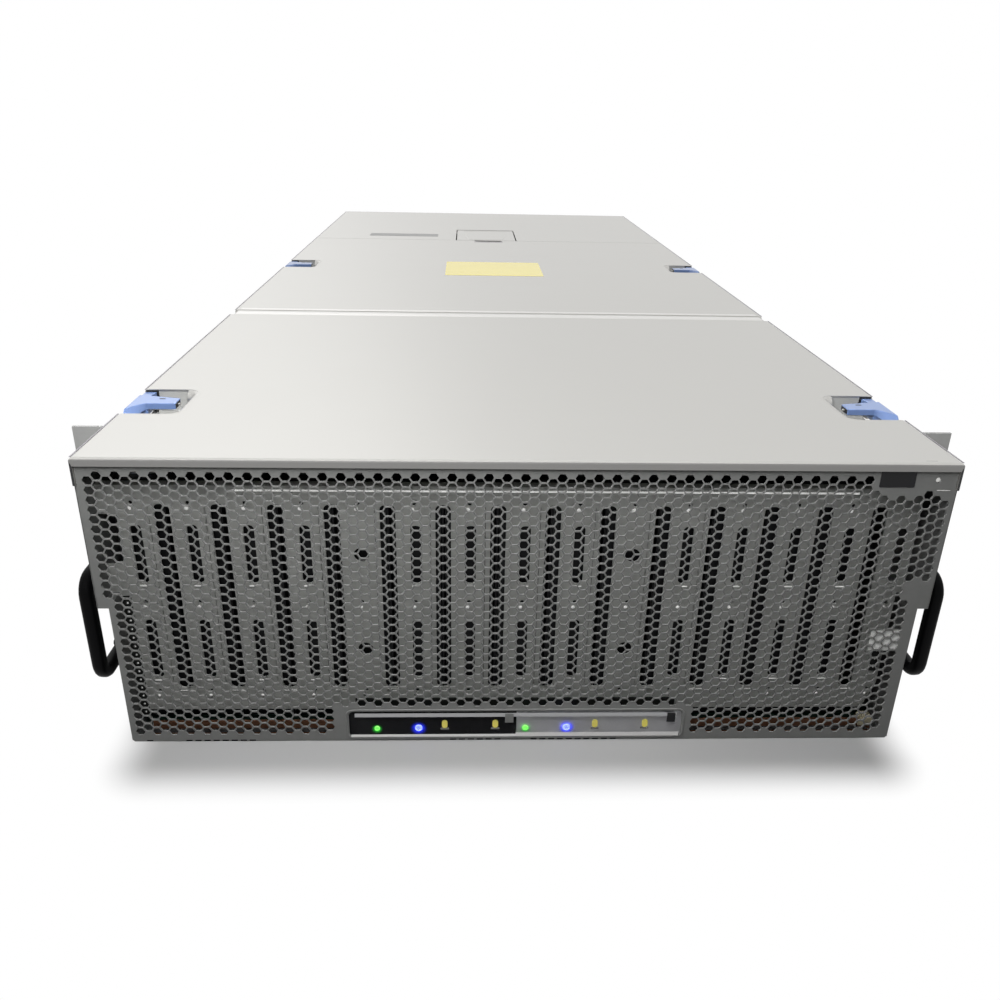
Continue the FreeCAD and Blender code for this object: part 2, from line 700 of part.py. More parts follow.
def fan_wall():
    """The upright plate that carries the fans, open in front of each one."""
    half = FAN_BORE - 2
    wires = [rectangle((-LOWER_INSIDE, LOWER_INSIDE), (SHEET, FAN_WALL_TOP), FAN_WALL_FRONT)]
    rise = (FAN_HEIGHT - half, FAN_HEIGHT + half)
    for index in range(FANS):
        x = fan_x(index)
        wires.append(rectangle((x - half, x + half), rise, FAN_WALL_FRONT))
    return sheet_across_y(wires, (FAN_WALL_FRONT, FAN_FRONT))


def fan_frame(index):
    """A square fan frame with four struts that carry the motor plate."""
    x = fan_x(index)
    half = FAN_SIZE / 2
    y = (FAN_FRONT, FAN_FRONT + FAN_DEPTH)
    rear = (y[1] - FAN_STRUT, y[1])
    thick = FAN_STRUT / 2
    hub = FAN_HUB * 0.8
    outside = rectangle((x - half, x + half), (FAN_HEIGHT - half, FAN_HEIGHT + half), y[0])
    frame = sheet_across_y([outside, polygon(x, FAN_HEIGHT, FAN_BORE, FAN_SIDES, y[0])], y)
    across = box((x - half + 1, x + half - 1), rear, (FAN_HEIGHT - thick, FAN_HEIGHT + thick))
    upright = box((x - thick, x + thick), rear, (FAN_HEIGHT - half + 1, FAN_HEIGHT + half - 1))
    plate = box((x - hub, x + hub), rear, (FAN_HEIGHT - hub, FAN_HEIGHT + hub))
    return fuse([frame, across, upright, plate])


def fan_rotor(index):
    """A rotor: hub and pitched blades, running close to the motor plate."""
    x = fan_x(index)
    y = (FAN_FRONT + 3, FAN_FRONT + FAN_DEPTH - FAN_STRUT - RUNNING_GAP)
    middle = sum(y) / 2
    chord = (y[1] - y[0]) - 4
    half = FAN_BLADE_THICK / 2
    span = (FAN_HEIGHT + FAN_HUB - 2, FAN_HEIGHT + FAN_TIP)
    hub = sheet_across_y([polygon(x, FAN_HEIGHT, FAN_HUB, FAN_SIDES, y[0])], y)
    blades = []
    for number in range(FAN_BLADES):
        blade = box((x - half, x + half), (middle - chord / 2, middle + chord / 2), span)
        blade.rotate(vec(x, middle, FAN_HEIGHT), vec(0, 0, 1), FAN_TWIST)
        blade.rotate(vec(x, middle, FAN_HEIGHT), vec(0, 1, 0), 360 / FAN_BLADES * number)
        blades.append(blade)
    return fuse([hub] + blades)


def midplane_board():
    """The upright board between the fans and the rear bays, open for air."""
    half = LOWER_INSIDE - 4
    wires = [rectangle((-half, half), (SHEET, MIDPLANE_TOP), MIDPLANE_FRONT)]
    wide, tall = MIDPLANE_OPENING
    for index in range(FANS):
        x = fan_x(index)
        for low in MIDPLANE_RISES:
            wires.append(rectangle((x - wide / 2, x + wide / 2), (low, low + tall), MIDPLANE_FRONT))
    return sheet_across_y(wires, (MIDPLANE_FRONT, MIDPLANE_FRONT + BOARD_THICK))


def sled_shelves():
    """The two shelves that the sleds slide on."""
    shelves = []
    for name, inside in (("lower", LOWER_INSIDE), ("upper", UPPER_INSIDE)):
        low = SHELVES[name]
        shelves.append(box((-inside, inside), (SHELF_START, WALL_DEPTH), (low, low + SHEET)))
    return shelves


def rear_vent_panel():
    """The slotted panel between the two power supplies."""
    z = (SHEET, SHELVES["lower"])
    wires = [rectangle((-VENT_PANEL_HALF, VENT_PANEL_HALF), z, BAY_FACE)]
    count = int(2 * (VENT_PANEL_HALF - 12) / VENT_PITCH)
    half = VENT_SLOT[0] / 2
    for number in range(count + 1):
        x = (number - count / 2) * VENT_PITCH
        wires.append(rectangle((x - half, x + half), (z[0] + 6, z[1] - 6), BAY_FACE))
    return sheet_across_y(wires, (BAY_FACE, BAY_FACE + SHEET))


def jack_limits(jack, floor):
    """Return the X and Z limits of a rear socket of a sled."""
    x, width, tall = jack
    low = floor + SLED_BOARD_RISE + BOARD_THICK + SHEET
    return (x - width / 2, x + width / 2), (low, low + tall)


def button_limits(floor, grow):
    """Return the X and Z limits of a sled's power button, grown all round."""
    half = BUTTON_HALF + grow
    x, rise = BUTTON_PLACE
    return (x - half, x + half), (floor + rise - half, floor + rise + half)


def sled_tray(floor):
    """A sled's tray: base, rear panel, board standoffs and the lever's two hinge lugs."""
    base = box((-SLED_HALF, SLED_HALF), (SLED_START, BAY_FACE), (floor, floor + SHEET))
    wires = [rectangle((-SLED_HALF, SLED_HALF), (floor, floor + SLED_TALL), BAY_FACE)]
    for start, count in VENT_FIELDS:
        for number in range(count):
            x = start + VENT_PITCH * number
            z = floor + (SLED_TALL - VENT_SLOT[1]) / 2
            wires.append(rectangle((x, x + VENT_SLOT[0]), (z, z + VENT_SLOT[1]), BAY_FACE))
    for jack in JACKS:
        x, z = jack_limits(jack, floor)
        wires.append(rectangle((x[0] - 0.3, x[1] + 0.3), (z[0] - 0.3, z[1] + 0.3), BAY_FACE))
    x, z = button_limits(floor, PIN_GAP)
    wires.append(rectangle(x, z, BAY_FACE))
    panel = sheet_across_y(wires, (BAY_FACE, BAY_FACE + SHEET))
    pieces = [base, panel]
    for x in (-SLED_BOARD_HALF + 8, 0, SLED_BOARD_HALF - 8):
        for depth in (SLED_START + 16, BAY_FACE - 20):
            across = (x - STANDOFF / 2, x + STANDOFF / 2)
            rise = (floor + SHEET, floor + SHEET + SLED_BOARD_RISE)
            pieces.append(box(across, (depth, depth + STANDOFF), rise))
    middle = floor + LEVER_RISE
    x, depth = LEVER_AXIS
    reach = (BAY_FACE + SHEET, depth + LEVER_BARREL)
    for side in (-1, 1):
        z = sorted((middle + side * LEVER_HALF, middle + side * (LEVER_HALF + SHEET)))
        lug = box((x - LEVER_BARREL, x + LEVER_BARREL), reach, z)
        lug = lug.makeChamfer(LUG_CHAMFER, edges_along(lug, vec(0, 0, 1), lambda spot: spot.y > depth))
        pieces.append(lug)
    bore = pin_bore(vec(x, depth, middle - 2 * LEVER_HALF), vec(0, 0, 4 * LEVER_HALF), LEVER_PIN)
    return fuse(pieces).cut(bore)


def sled_board(floor):
    """A sled's main board with the metal-shelled sockets that show at the rear."""
    low = floor + SHEET + SLED_BOARD_RISE
    y = (SLED_START + 4, SLED_START + 4 + SLED_BOARD_DEPTH)
    solids = [box((-SLED_BOARD_HALF, SLED_BOARD_HALF), y, (low, low + BOARD_THICK))]
    for jack in JACKS:
        x, z = jack_limits(jack, floor)
        face = BAY_FACE + SHEET
        shell = box(x, (face - JACK_DEPTH, face), z)
        mouth = (face - JACK_MOUTH, face + 1)
        hollow = box((x[0] + JACK_WALL, x[1] - JACK_WALL), mouth, (z[0] + JACK_WALL, z[1] - JACK_WALL))
        solids.append(shell.cut(hollow))
    return solids


def sled_heatsinks(floor):
    """The two finned processor heatsinks of a sled."""
    low = floor + SHEET + SLED_BOARD_RISE + BOARD_THICK
    sinks = []
    for x in SINK_CENTRES:
        left = x - SINK_WIDE / 2
        section = [(left, low), (left + SINK_WIDE, low)]
        step = (SINK_WIDE - SINK_FIN) / (SINK_FINS - 1)
        for number in reversed(range(SINK_FINS)):
            fin = left + step * number
            section += [(fin + SINK_FIN, low + SINK_TALL), (fin, low + SINK_TALL)]
            if number:
                section += [(fin, low + SINK_BASE), (fin - step + SINK_FIN, low + SINK_BASE)]
        sinks.append(along_y(section, (SINK_FRONT, SINK_FRONT + SINK_LONG)))
    return sinks


def sled_memory(floor):
    """The memory modules of a sled, in banks beside the heatsinks."""
    low = floor + SHEET + SLED_BOARD_RISE + BOARD_THICK
    modules = []
    for bank in MEMORY_BANKS:
        for number in range(MEMORY_PER_BANK):
            x = bank + MEMORY_PITCH * number
            y = (MEMORY_FRONT, MEMORY_FRONT + MEMORY_LONG)
            modules.append(box((x, x + MEMORY_THICK), y, (low, low + MEMORY_TALL)))
    return modules


def sled_lever(floor):
    """The lever that draws a sled home, turning on two moulded pins."""
    middle = floor + LEVER_RISE
    x, y = LEVER_AXIS
    half = LEVER_HALF - RUNNING_GAP
    rise = (middle - half, middle + half)
    back = LEVER_BARREL
    tip = x - LEVER_LONG
    plan = [(tip, y - LEVER_BACK), (x, y - back), (x + back, y), (x, y + back)]
    plan += [(tip + LEVER_FLARE, y + back / 2), (tip, y + 2 * back)]
    face = Part.Face(loop([vec(px, py, rise[0]) for px, py in plan]))
    arm = face.extrude(vec(0, 0, rise[1] - rise[0]))
    long = vec(0, 0, SHEET + RUNNING_GAP)
    pins = [pin_bar(vec(x, y, low), long, LEVER_PIN) for low in (middle - LEVER_HALF - SHEET, rise[1])]
    return fuse([arm] + pins)


def sled_button(floor):
    """The power button in a sled's rear panel."""
    x, z = button_limits(floor, 0)
    return box(x, (BAY_FACE - BUTTON_HALF, BAY_FACE + SHEET + BUTTON_PROUD), z)


def psu_case(left):
    """A power supply's case with its fan recess, inlet and latch slot."""
    low = PSU_BOTTOM
    case = box((left, left + PSU_WIDE), (PSU_START, BAY_FACE), (low, low + PSU_TALL))
    x, z, radius, deep = PSU_FAN
    start = BAY_FACE - deep
    ring = polygon(left + x, low + z, radius, PSU_FAN_SIDES, start)
    tools = [sheet_across_y([ring], (start, BAY_FACE + 1))]
    for place, depth in ((PSU_INLET, PSU_INLET_DEPTH), (PSU_SLOT, PSU_SLOT_DEPTH)):
        sides = (left + place[0], left + place[1])
        tools.append(box(sides, (BAY_FACE - depth, BAY_FACE + 1), (low + place[2], low + place[3])))
    return case.cut(tools)


def psu_handle(left):
    """A power supply's pull handle, a bail with both ends on the case."""
    x = (left + PSU_HANDLE[0], left + PSU_HANDLE[1])
    z = (PSU_BOTTOM + PSU_HANDLE_RISE[0], PSU_BOTTOM + PSU_HANDLE_RISE[1])
    block = box(x, (BAY_FACE, TOTAL_DEPTH), z)
    corners = edges_along(block, vec(1, 0, 0), lambda middle: middle.y > TOTAL_DEPTH - 1)
    block = block.makeChamfer(PSU_HANDLE_CHAMFER, corners)
    bar = PSU_HANDLE_BAR
    gap = box((x[0] - 1, x[1] + 1), (BAY_FACE - 1, TOTAL_DEPTH - bar), (z[0] + bar, z[1] - bar))
    return block.cut(gap)


def psu_latch(left):
    """The sideways release tab above a power supply's inlet."""
    x = (left + PSU_SLOT[0] + RUNNING_GAP, left + PSU_SLOT[0] + RUNNING_GAP + PSU_LATCH_WIDE)
    z = (PSU_BOTTOM + PSU_SLOT[2] + RUNNING_GAP, PSU_BOTTOM + PSU_SLOT[3] - RUNNING_GAP)
    tab = box(x, (BAY_FACE - PSU_SLOT_DEPTH + RUNNING_GAP, BAY_FACE + PSU_LATCH_REACH), z)
    corners = edges_along(tab, vec(0, 0, 1), lambda middle: middle.y > BAY_FACE)
    return tab.makeChamfer(PSU_LATCH_CHAMFER, corners)


def build():
    """Make every sub-part and write it under its own name."""
    green = led_places(GREEN_LED)
    blue = led_places(BLUE_LED)
    amber = [place for first in AMBER_LEDS for place in led_places(first)]
    leds = green + blue + amber
    save("chassis_floor", [chassis_floor()])
    save("front_grille", [front_grille()])
    save("front_baffle", [front_baffle()])
    save("indicator_window", [indicator_window()])
    save("indicator_insert_left", [indicator_insert(-1, leds)])
    save("indicator_insert_right", [indicator_insert(1, leds)])
    save("indicator_board", [indicator_board()])
    save("leds_green", led_group(green))
    save("leds_blue", led_group(blue))
    save("leds_amber", led_group(amber))
    save("grounding_strip", grounding_strips())
    save("drives_front", drive_rows(range(ROWS_PER_BAY)))
    save("drives_rear", drive_rows(range(ROWS_PER_BAY, DRIVE_ROWS)))
    save("drive_dividers", drive_dividers())
    save("backplane_front", [backplane(0)])
    save("backplane_rear", [backplane(1)])
    save("cover_crossbar", [cover_crossbar()])
    save("front_cover", front_cover())
    save("mid_cover", mid_cover())
    save("rear_cover", [rear_cover()])
    save("rear_cover_latch", [rear_cover_latch()])
    save("fan_wall", [fan_wall()])
    save("fan_frames", [fan_frame(index) for index in range(FANS)])
    save("midplane_board", [midplane_board()])
    save("sled_shelves", sled_shelves())
    save("rear_vent_panel", [rear_vent_panel()])
    for index in range(FANS):
        save("fan_rotor_" + str(index + 1), [fan_rotor(index)])
    right_hand = {"side_wall": side_wall(), "rack_ear": rack_ear(), "handle": handle()}
    for place, start in LATCH_STARTS.items():
        right_hand[place + "_latch"] = latch(start)
        pan = pocket_pan(start)
        save(place + "_cover_pans", [pan, mirrored(pan)])
    for name, piece in right_hand.items():
        save(name + "_right", [piece])
        save(name + "_left", [mirrored(piece)])
    for number, floor in SLED_FLOORS.items():
        prefix = "sled_" + str(number) + "_"
        save(prefix + "tray", [sled_tray(floor)])
        save(prefix + "board", sled_board(floor))
        save(prefix + "heatsinks", sled_heatsinks(floor))
        save(prefix + "memory", sled_memory(floor))
        save(prefix + "lever", [sled_lever(floor)])
        save(prefix + "button", [sled_button(floor)])
    for number, left in PSU_LEFT_EDGES.items():
        prefix = "psu_" + str(number) + "_"
        save(prefix + "case", [psu_case(left)])
        save(prefix + "handle", [psu_handle(left)])
        save(prefix + "latch", [psu_latch(left)])


os.makedirs("parts", exist_ok=True)
build()
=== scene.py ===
"""Looks of a four-unit rack storage server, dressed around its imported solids."""

import logging
import math
from dataclasses import dataclass, field
from enum import Enum
from typing import Any, Callable

import bmesh
import bpy
from mathutils import Matrix, Vector
from mathutils.geometry import delaunay_2d_cdt


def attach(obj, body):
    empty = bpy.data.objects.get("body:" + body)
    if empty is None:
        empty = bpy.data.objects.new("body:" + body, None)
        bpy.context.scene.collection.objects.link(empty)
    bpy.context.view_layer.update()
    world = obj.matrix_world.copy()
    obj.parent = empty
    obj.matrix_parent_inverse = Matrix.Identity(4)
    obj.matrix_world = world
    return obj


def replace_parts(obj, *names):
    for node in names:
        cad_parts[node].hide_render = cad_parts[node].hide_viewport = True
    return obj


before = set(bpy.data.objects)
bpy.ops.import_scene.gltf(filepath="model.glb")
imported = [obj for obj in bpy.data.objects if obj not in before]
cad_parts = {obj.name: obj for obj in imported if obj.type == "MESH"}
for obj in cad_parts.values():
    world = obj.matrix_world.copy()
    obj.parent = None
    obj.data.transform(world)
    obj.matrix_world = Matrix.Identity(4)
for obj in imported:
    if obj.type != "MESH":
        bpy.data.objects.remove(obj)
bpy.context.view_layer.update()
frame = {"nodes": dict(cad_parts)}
LOG = logging.getLogger("storage_server")

MM = 0.001
FRONT_LIP = -0.549
SIDES = {"left": -1.0, "right": 1.0}
SHARP_ANGLE = math.radians(35)
JOIN_REACH = 1e-6
UNIT = (0.0, 1.0)
UPWARD = (0.0, 0.0, 1.0)
FACING = 0.9
HAIR = 0.01

WALL = 217.0
WINDOW_HALF = 95.0
WINDOW_RISE = (1.9, 19.9)
POCKET_STARTS = {"front": 68.0, "mid": 558.0}

Point = tuple[float, float]
Loop = list[Point]
Span = tuple[float, float]
Place = tuple[float, float, float]
Colour = tuple[float, float, float]
Box = tuple[Span, Span, Span]


class Axis(Enum):
    """The direction a shape is drawn along; its section lies in the other two axes."""

    X = 0
    Y = 1
    Z = 2

    def place(self, u: float, v: float, along: float) -> Place:
        """Return the point at section place (u, v) and distance along the axis."""
        spot = [u, v]
        spot.insert(self.value, along)
        return tuple(spot)


def row(spot: Place) -> Vector:
    """Return a place in the row frame, in metres, from millimetres behind the front lip."""
    return Vector((spot[0] * MM, spot[1] * MM + FRONT_LIP, spot[2] * MM))


def rectangle(u: Span, v: Span) -> Loop:
    """Return the corners of a rectangle."""
    return [(u[0], v[0]), (u[1], v[0]), (u[1], v[1]), (u[0], v[1])]


def about(middle: float, half: float) -> Span:
    """Return the limits of a length from its middle and half its size."""
    return (middle - half, middle + half)


def shifted(span: Span, by: float) -> Span:
    """Return limits moved by a distance."""
    return (by + span[0], by + span[1])


def regular(u: float, v: float, reach: float, sides: int) -> Loop:
    """Return a regular polygon.

    Args:
        u: Middle, first coordinate.
        v: Middle, second coordinate.
        reach: Distance from the middle to a corner.
        sides: Number of corners.

    Returns:
        The corners in order.
    """
    angles = [2 * math.pi * corner / sides for corner in range(sides)]
    return [(u + reach * math.cos(angle), v + reach * math.sin(angle)) for angle in angles]


def rounded(u: Span, v: Span, radius: float, steps: int = 5) -> Loop:
    """Return a rectangle with round corners.

    Args:
        u: Limits along the first coordinate.
        v: Limits along the second coordinate.
        radius: Corner radius.
        steps: Straight pieces in each corner.

    Returns:
        The points in order.
    """
    middles = [(u[1] - radius, v[1] - radius), (u[0] + radius, v[1] - radius)]
    middles += [(u[0] + radius, v[0] + radius), (u[1] - radius, v[0] + radius)]
    points = []
    for corner, (mu, mv) in enumerate(middles):
        for step in range(steps + 1):
            angle = math.pi / 2 * (corner + step / steps)
            points.append((mu + radius * math.cos(angle), mv + radius * math.sin(angle)))
    return points


@dataclass
class Shape:
    """A mesh in the making, in millimetres, with Y counted from the front lip."""

    spots: list[Place] = field(default_factory=list)
    faces: list[tuple[int, ...]] = field(default_factory=list)

    def add(self, spots: list[Place], faces: list[tuple[int, ...]]) -> "Shape":
        """Append points and the faces between them."""
        base = len(self.spots)
        self.spots += spots
        self.faces += [tuple(base + corner for corner in face) for face in faces]
        return self

    def skin(self, rings: list[list[Place]], closed: bool = False) -> "Shape":
        """Add a surface over rings of points, capped at both ends unless it closes on itself."""
        count = len(rings[0])
        faces = []
        for number in range(len(rings) if closed else len(rings) - 1):
            low = number * count
            high = (number + 1) % len(rings) * count
            for corner in range(count):
                after = (corner + 1) % count
                faces.append((low + corner, low + after, high + after, high + corner))
        if not closed:
            last = (len(rings) - 1) * count
            faces += [tuple(range(count)), tuple(range(last, last + count))]
        return self.add([spot for ring in rings for spot in ring], faces)

    def prism(self, loop: Loop, span: Span, axis: Axis) -> "Shape":
        """Add a bar of constant section."""
        return self.skin([[axis.place(u, v, along) for u, v in loop] for along in span])

    def block(self, x: Span, y: Span, z: Span) -> "Shape":
        """Add a rectangular block."""
        return self.prism(rectangle(x, z), y, Axis.Y)

    def plate(self, outline: Loop, holes: list[Loop], span: Span, axis: Axis) -> "Shape":
        """Add a flat plate with holes.

        Args:
            outline: Outer edge.
            holes: Inner edges.
            span: Limits of the thickness.
            axis: Direction of the thickness.

        Returns:
            The shape itself.
        """
        loops = [outline, *holes]
        flat = [Vector(point) for loop in loops for point in loop]
        starts = [sum(len(loop) for loop in loops[:number]) for number in range(len(loops))]
        rings = [list(range(start, start + len(loop))) for start, loop in zip(starts, loops)]
        inside_only = 1
        points, _, faces, _, _, owners = delaunay_2d_cdt(flat, [], rings, inside_only, JOIN_REACH)
        kept = [face for face, owner in zip(faces, owners) if list(owner) == [0]]
        count = len(points)
        spots = [axis.place(point.x, point.y, along) for along in span for point in points]
        made = [tuple(face) for face in kept]
        made += [tuple(corner + count for corner in reversed(face)) for face in kept]
        sides = {(a, b) for face in kept for a, b in zip(face, face[1:] + face[:1])}
        made += [(b, a, a + count, b + count) for a, b in sides if (b, a) not in sides]
        return self.add(spots, made)

    def turned(self, profile: Loop, middle: Point, axis: Axis, sides: int,
               closed: bool = False) -> "Shape":
        """Add a turned form.

        Args:
            profile: Pairs of radius and distance along the axis.
            middle: Section place of the axis.
            axis: Direction of the axis.
            sides: Number of facets round the axis.
            closed: True for a ring, whose profile meets itself.

        Returns:
            The shape itself.
        """
        rings = []
        for radius, along in profile:
            rings.append([axis.place(u, v, along) for u, v in regular(*middle, radius, sides)])
        return self.skin(rings, closed)

    def swept(self, path: list[Place], section: Loop, flat: Place, closed: bool = False) -> "Shape":
        """Add a bar whose section follows a path in a plane.

        Args:
            path: Points of the middle line.
            section: Section points, first across the plane and then in it.
            flat: Unit normal of the plane.
            closed: True where the path meets itself.

        Returns:
            The shape itself.
        """
        normal = Vector(flat)
        line = [Vector(spot) for spot in path]
        last = len(line) - 1
        rings = []
        for number, spot in enumerate(line):
            before = line[number - 1] if number or closed else spot
            after = line[(number + 1) % len(line)] if number < last or closed else spot
            across = normal.cross((after - before).normalized())
            rings.append([tuple(spot + normal * a + across * b) for a, b in section])
        return self.skin(rings, closed)

    def mirrored(self) -> "Shape":
        """Return the shape for the other side of the server."""
        faces = [tuple(reversed(face)) for face in self.faces]
        return Shape([(-x, y, z) for x, y, z in self.spots], faces)

    def pair(self) -> dict[str, "Shape"]:
        """Return the shape, drawn for the right side, and its mirror image by the side's name."""
        return {"right": self, "left": self.mirrored()}


@dataclass(frozen=True)
class Trim:
    """How a piece is finished: where it rides, what it is made of and how its edges are eased."""

    finish: "Surface"
    body: str = "chassis"
    bevel: float = 0.0
    segments: int = 2


def ease_edges(piece: bpy.types.Object, width: float, segments: int) -> None:
    """Round the sharp edges of a piece by a width in millimetres."""
    bevel = piece.modifiers.new("eased_edges", "BEVEL")
    bevel.width = width * MM
    bevel.segments = segments
    bevel.limit_method = "ANGLE"
    bevel.angle_limit = SHARP_ANGLE
    bevel.harden_normals = True


def make_piece(name: str, shape: Shape, trim: Trim) -> bpy.types.Object:
    """Turn a shape into a finished piece that rides a body.

    Args:
        name: Name of the piece.
        shape: Its mesh.
        trim: Its finish, body and edges.

    Returns:
        The new object.
    """
    mesh = bpy.data.meshes.new(name)
    mesh.from_pydata([row(spot) for spot in shape.spots], [], shape.faces)
    work = bmesh.new()
    work.from_mesh(mesh)
    bmesh.ops.remove_doubles(work, verts=work.verts, dist=JOIN_REACH)
    bmesh.ops.recalc_face_normals(work, faces=work.faces)
    work.to_mesh(mesh)
    work.free()
    mesh.shade_smooth()
    mesh.set_sharp_from_angle(angle=SHARP_ANGLE)
    piece = bpy.data.objects.new(name, mesh)
    bpy.context.scene.collection.objects.link(piece)
    mesh.materials.append(trim.finish.material())
    if trim.bevel:
        ease_edges(piece, trim.bevel, trim.segments)
    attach(piece, trim.body)
    LOG.info("%s rides %s with %d faces", name, trim.body, len(mesh.polygons))
    return piece


def dress(finish: "Surface", *names: str, bevel: float = 0.0) -> None:
    """Give solids of the frame their finish.

    Args:
        finish: Finish of the nodes.
        names: Node names.
        bevel: Width of their eased edges in millimetres, or none.
    """
    for name in names:
        node = frame["nodes"][name]
        node.data.materials.clear()
        node.data.materials.append(finish.material())
        if bevel:
            weld = node.modifiers.new("joined_corners", "WELD")
            weld.merge_threshold = JOIN_REACH
            ease_edges(node, bevel, 2)
        LOG.info("%s dressed in %s", name, finish.name)


def dress_faces(name: str, finish: "Surface", test: Callable[[bpy.types.MeshPolygon], bool]) -> None:
    """Give some faces of a dressed solid another finish.

    Args:
        name: Node name.
        finish: Finish of those faces.
        test: Says which faces they are.
    """
    mesh = frame["nodes"][name].data
    mesh.materials.append(finish.material())
    for face in mesh.polygons:
        if test(face):
            face.material_index = len(mesh.materials) - 1


class Tree:
    """Adds and links the nodes of one shader tree."""

    def __init__(self, tree: bpy.types.NodeTree) -> None:
        """Start on an empty tree."""
        self.tree = tree
        tree.nodes.clear()

    def node(self, kind: str, values: dict[Any, Any] | None = None, **settings: Any) -> bpy.types.Node:
        """Add a node.

        Args:
            kind: Node type without its ShaderNode prefix.
            values: Input values by socket name or number.
            settings: Other properties of the node.

        Returns:
            The new node.
        """
        made = self.tree.nodes.new(kind if kind.startswith("NodeGroup") else "ShaderNode" + kind)
        for name, value in settings.items():
            setattr(made, name, value)
        for socket, value in (values or {}).items():
            made.inputs[socket].default_value = value
        return made

    def join(self, source: bpy.types.NodeSocket, target: bpy.types.NodeSocket) -> None:
        """Link an output to an input."""
        self.tree.links.new(source, target)

    def scaled(self, value: bpy.types.NodeSocket, result: Span,
               limits: Span = UNIT) -> bpy.types.NodeSocket:
        """Return a value stretched to a result from its own limits."""
        span = self.node("MapRange", {1: limits[0], 2: limits[1], 3: result[0], 4: result[1]})
        self.join(value, span.inputs[0])
        return span.outputs[0]

    def mixed(self, share: bpy.types.NodeSocket, low: Any, high: Any) -> bpy.types.NodeSocket:
        """Return a colour between two colours or sockets."""
        mix = self.node("Mix", data_type="RGBA")
        self.join(share, mix.inputs[0])
        for socket, colour in ((mix.inputs[6], low), (mix.inputs[7], high)):
            if isinstance(colour, bpy.types.NodeSocket):
                self.join(colour, socket)
            else:
                socket.default_value = (*colour, 1.0)
        return mix.outputs[2]


class Effect(Enum):
    """A shader effect that several finishes share, built once as a node group."""

    GRAIN = "fine_grain"
    BLOTCH = "soft_blotches"
    WEAR = "edge_wear"
    GLOW = "round_glow"

    def group(self) -> bpy.types.NodeTree:
        """Return the group, made on first use."""
        made = bpy.data.node_groups.get(self.value)
        if made:
            return made
        made = bpy.data.node_groups.new(self.value, "ShaderNodeTree")
        makers = {Effect.GRAIN: grain_group, Effect.BLOTCH: blotch_group,
                  Effect.WEAR: wear_group, Effect.GLOW: glow_group}
        makers[self](made)
        return made

    def place(self, tree: Tree, **values: Any) -> bpy.types.NodeSocket:
        """Add the effect to a material and return its mask."""
        used = tree.node("Group", node_tree=self.group())
        for name, value in values.items():
            used.inputs[name.capitalize()].default_value = value
        return used.outputs["Mask"]


def group_ends(group: bpy.types.NodeTree, inputs: dict[str, str]) -> tuple[Tree, Any, Any]:
    """Give a group its sockets.

    Args:
        group: The empty node group.
        inputs: Socket kinds by name.

    Returns:
        The tree helper, the group's input node and its output node.
    """
    for name, kind in inputs.items():
        group.interface.new_socket(name, in_out="INPUT", socket_type="NodeSocket" + kind)
    group.interface.new_socket("Mask", in_out="OUTPUT", socket_type="NodeSocketFloat")
    tree = Tree(group)
    return tree, tree.node("NodeGroupInput"), tree.node("NodeGroupOutput")


def grain_group(group: bpy.types.NodeTree) -> None:
    """Fine streaks or speckle, drawn out by the stretch along each axis."""
    tree, start, end = group_ends(group, {"Stretch": "Vector", "Scale": "Float"})
    place = tree.node("TexCoord")
    drawn = tree.node("VectorMath", operation="MULTIPLY")
    noise = tree.node("TexNoise", {"Detail": 5.0, "Roughness": 0.65})
    tree.join(place.outputs["Object"], drawn.inputs[0])
    tree.join(start.outputs["Stretch"], drawn.inputs[1])
    tree.join(drawn.outputs[0], noise.inputs["Vector"])
    tree.join(start.outputs["Scale"], noise.inputs["Scale"])
    tree.join(tree.scaled(noise.outputs["Fac"], UNIT, (0.28, 0.72)), end.inputs["Mask"])


def blotch_group(group: bpy.types.NodeTree) -> None:
    """Large soft patches, as of handling marks and uneven coating."""
    tree, start, end = group_ends(group, {"Scale": "Float"})
    place = tree.node("TexCoord")
    noise = tree.node("TexNoise", {"Detail": 3.0, "Roughness": 0.5, "Distortion": 0.6})
    tree.join(place.outputs["Object"], noise.inputs["Vector"])
    tree.join(start.outputs["Scale"], noise.inputs["Scale"])
    tree.join(tree.scaled(noise.outputs["Fac"], UNIT, (0.3, 0.7)), end.inputs["Mask"])


def wear_group(group: bpy.types.NodeTree) -> None:
    """A mask along outer edges, from how far a rounded normal leaves the true one."""
    tree, start, end = group_ends(group, {"Radius": "Float"})
    soft = tree.node("Bevel", samples=4)
    tree.join(start.outputs["Radius"], soft.inputs["Radius"])
    true = tree.node("NewGeometry")
    dot = tree.node("VectorMath", operation="DOT_PRODUCT")
    tree.join(soft.outputs[0], dot.inputs[0])
    tree.join(true.outputs["Normal"], dot.inputs[1])
    tree.join(tree.scaled(dot.outputs["Value"], UNIT, (0.98, 0.75)), end.inputs["Mask"])


def glow_group(group: bpy.types.NodeTree) -> None:
    """A round mask that fades from the middle of a flat piece to its rim."""
    tree, start, end = group_ends(group, {"Reach": "Float"})
    place = tree.node("TexCoord")
    away = tree.node("VectorMath", {1: (0.5, 0.5, 0.5)}, operation="SUBTRACT")
    flat = tree.node("VectorMath", {1: (1.0, 0.0, 1.0)}, operation="MULTIPLY")
    long = tree.node("VectorMath", operation="LENGTH")
    share = tree.node("Math", operation="DIVIDE")
    fade = tree.node("MapRange", {1: 1.0, 2: 0.0, 3: 0.0, 4: 1.0}, interpolation_type="SMOOTHERSTEP")
    tree.join(place.outputs["Generated"], away.inputs[0])
    tree.join(away.outputs[0], flat.inputs[0])
    tree.join(flat.outputs[0], long.inputs[0])
    tree.join(long.outputs["Value"], share.inputs[0])
    tree.join(start.outputs["Reach"], share.inputs[1])
    tree.join(share.outputs[0], fade.inputs[0])
    tree.join(fade.outputs[0], end.inputs["Mask"])


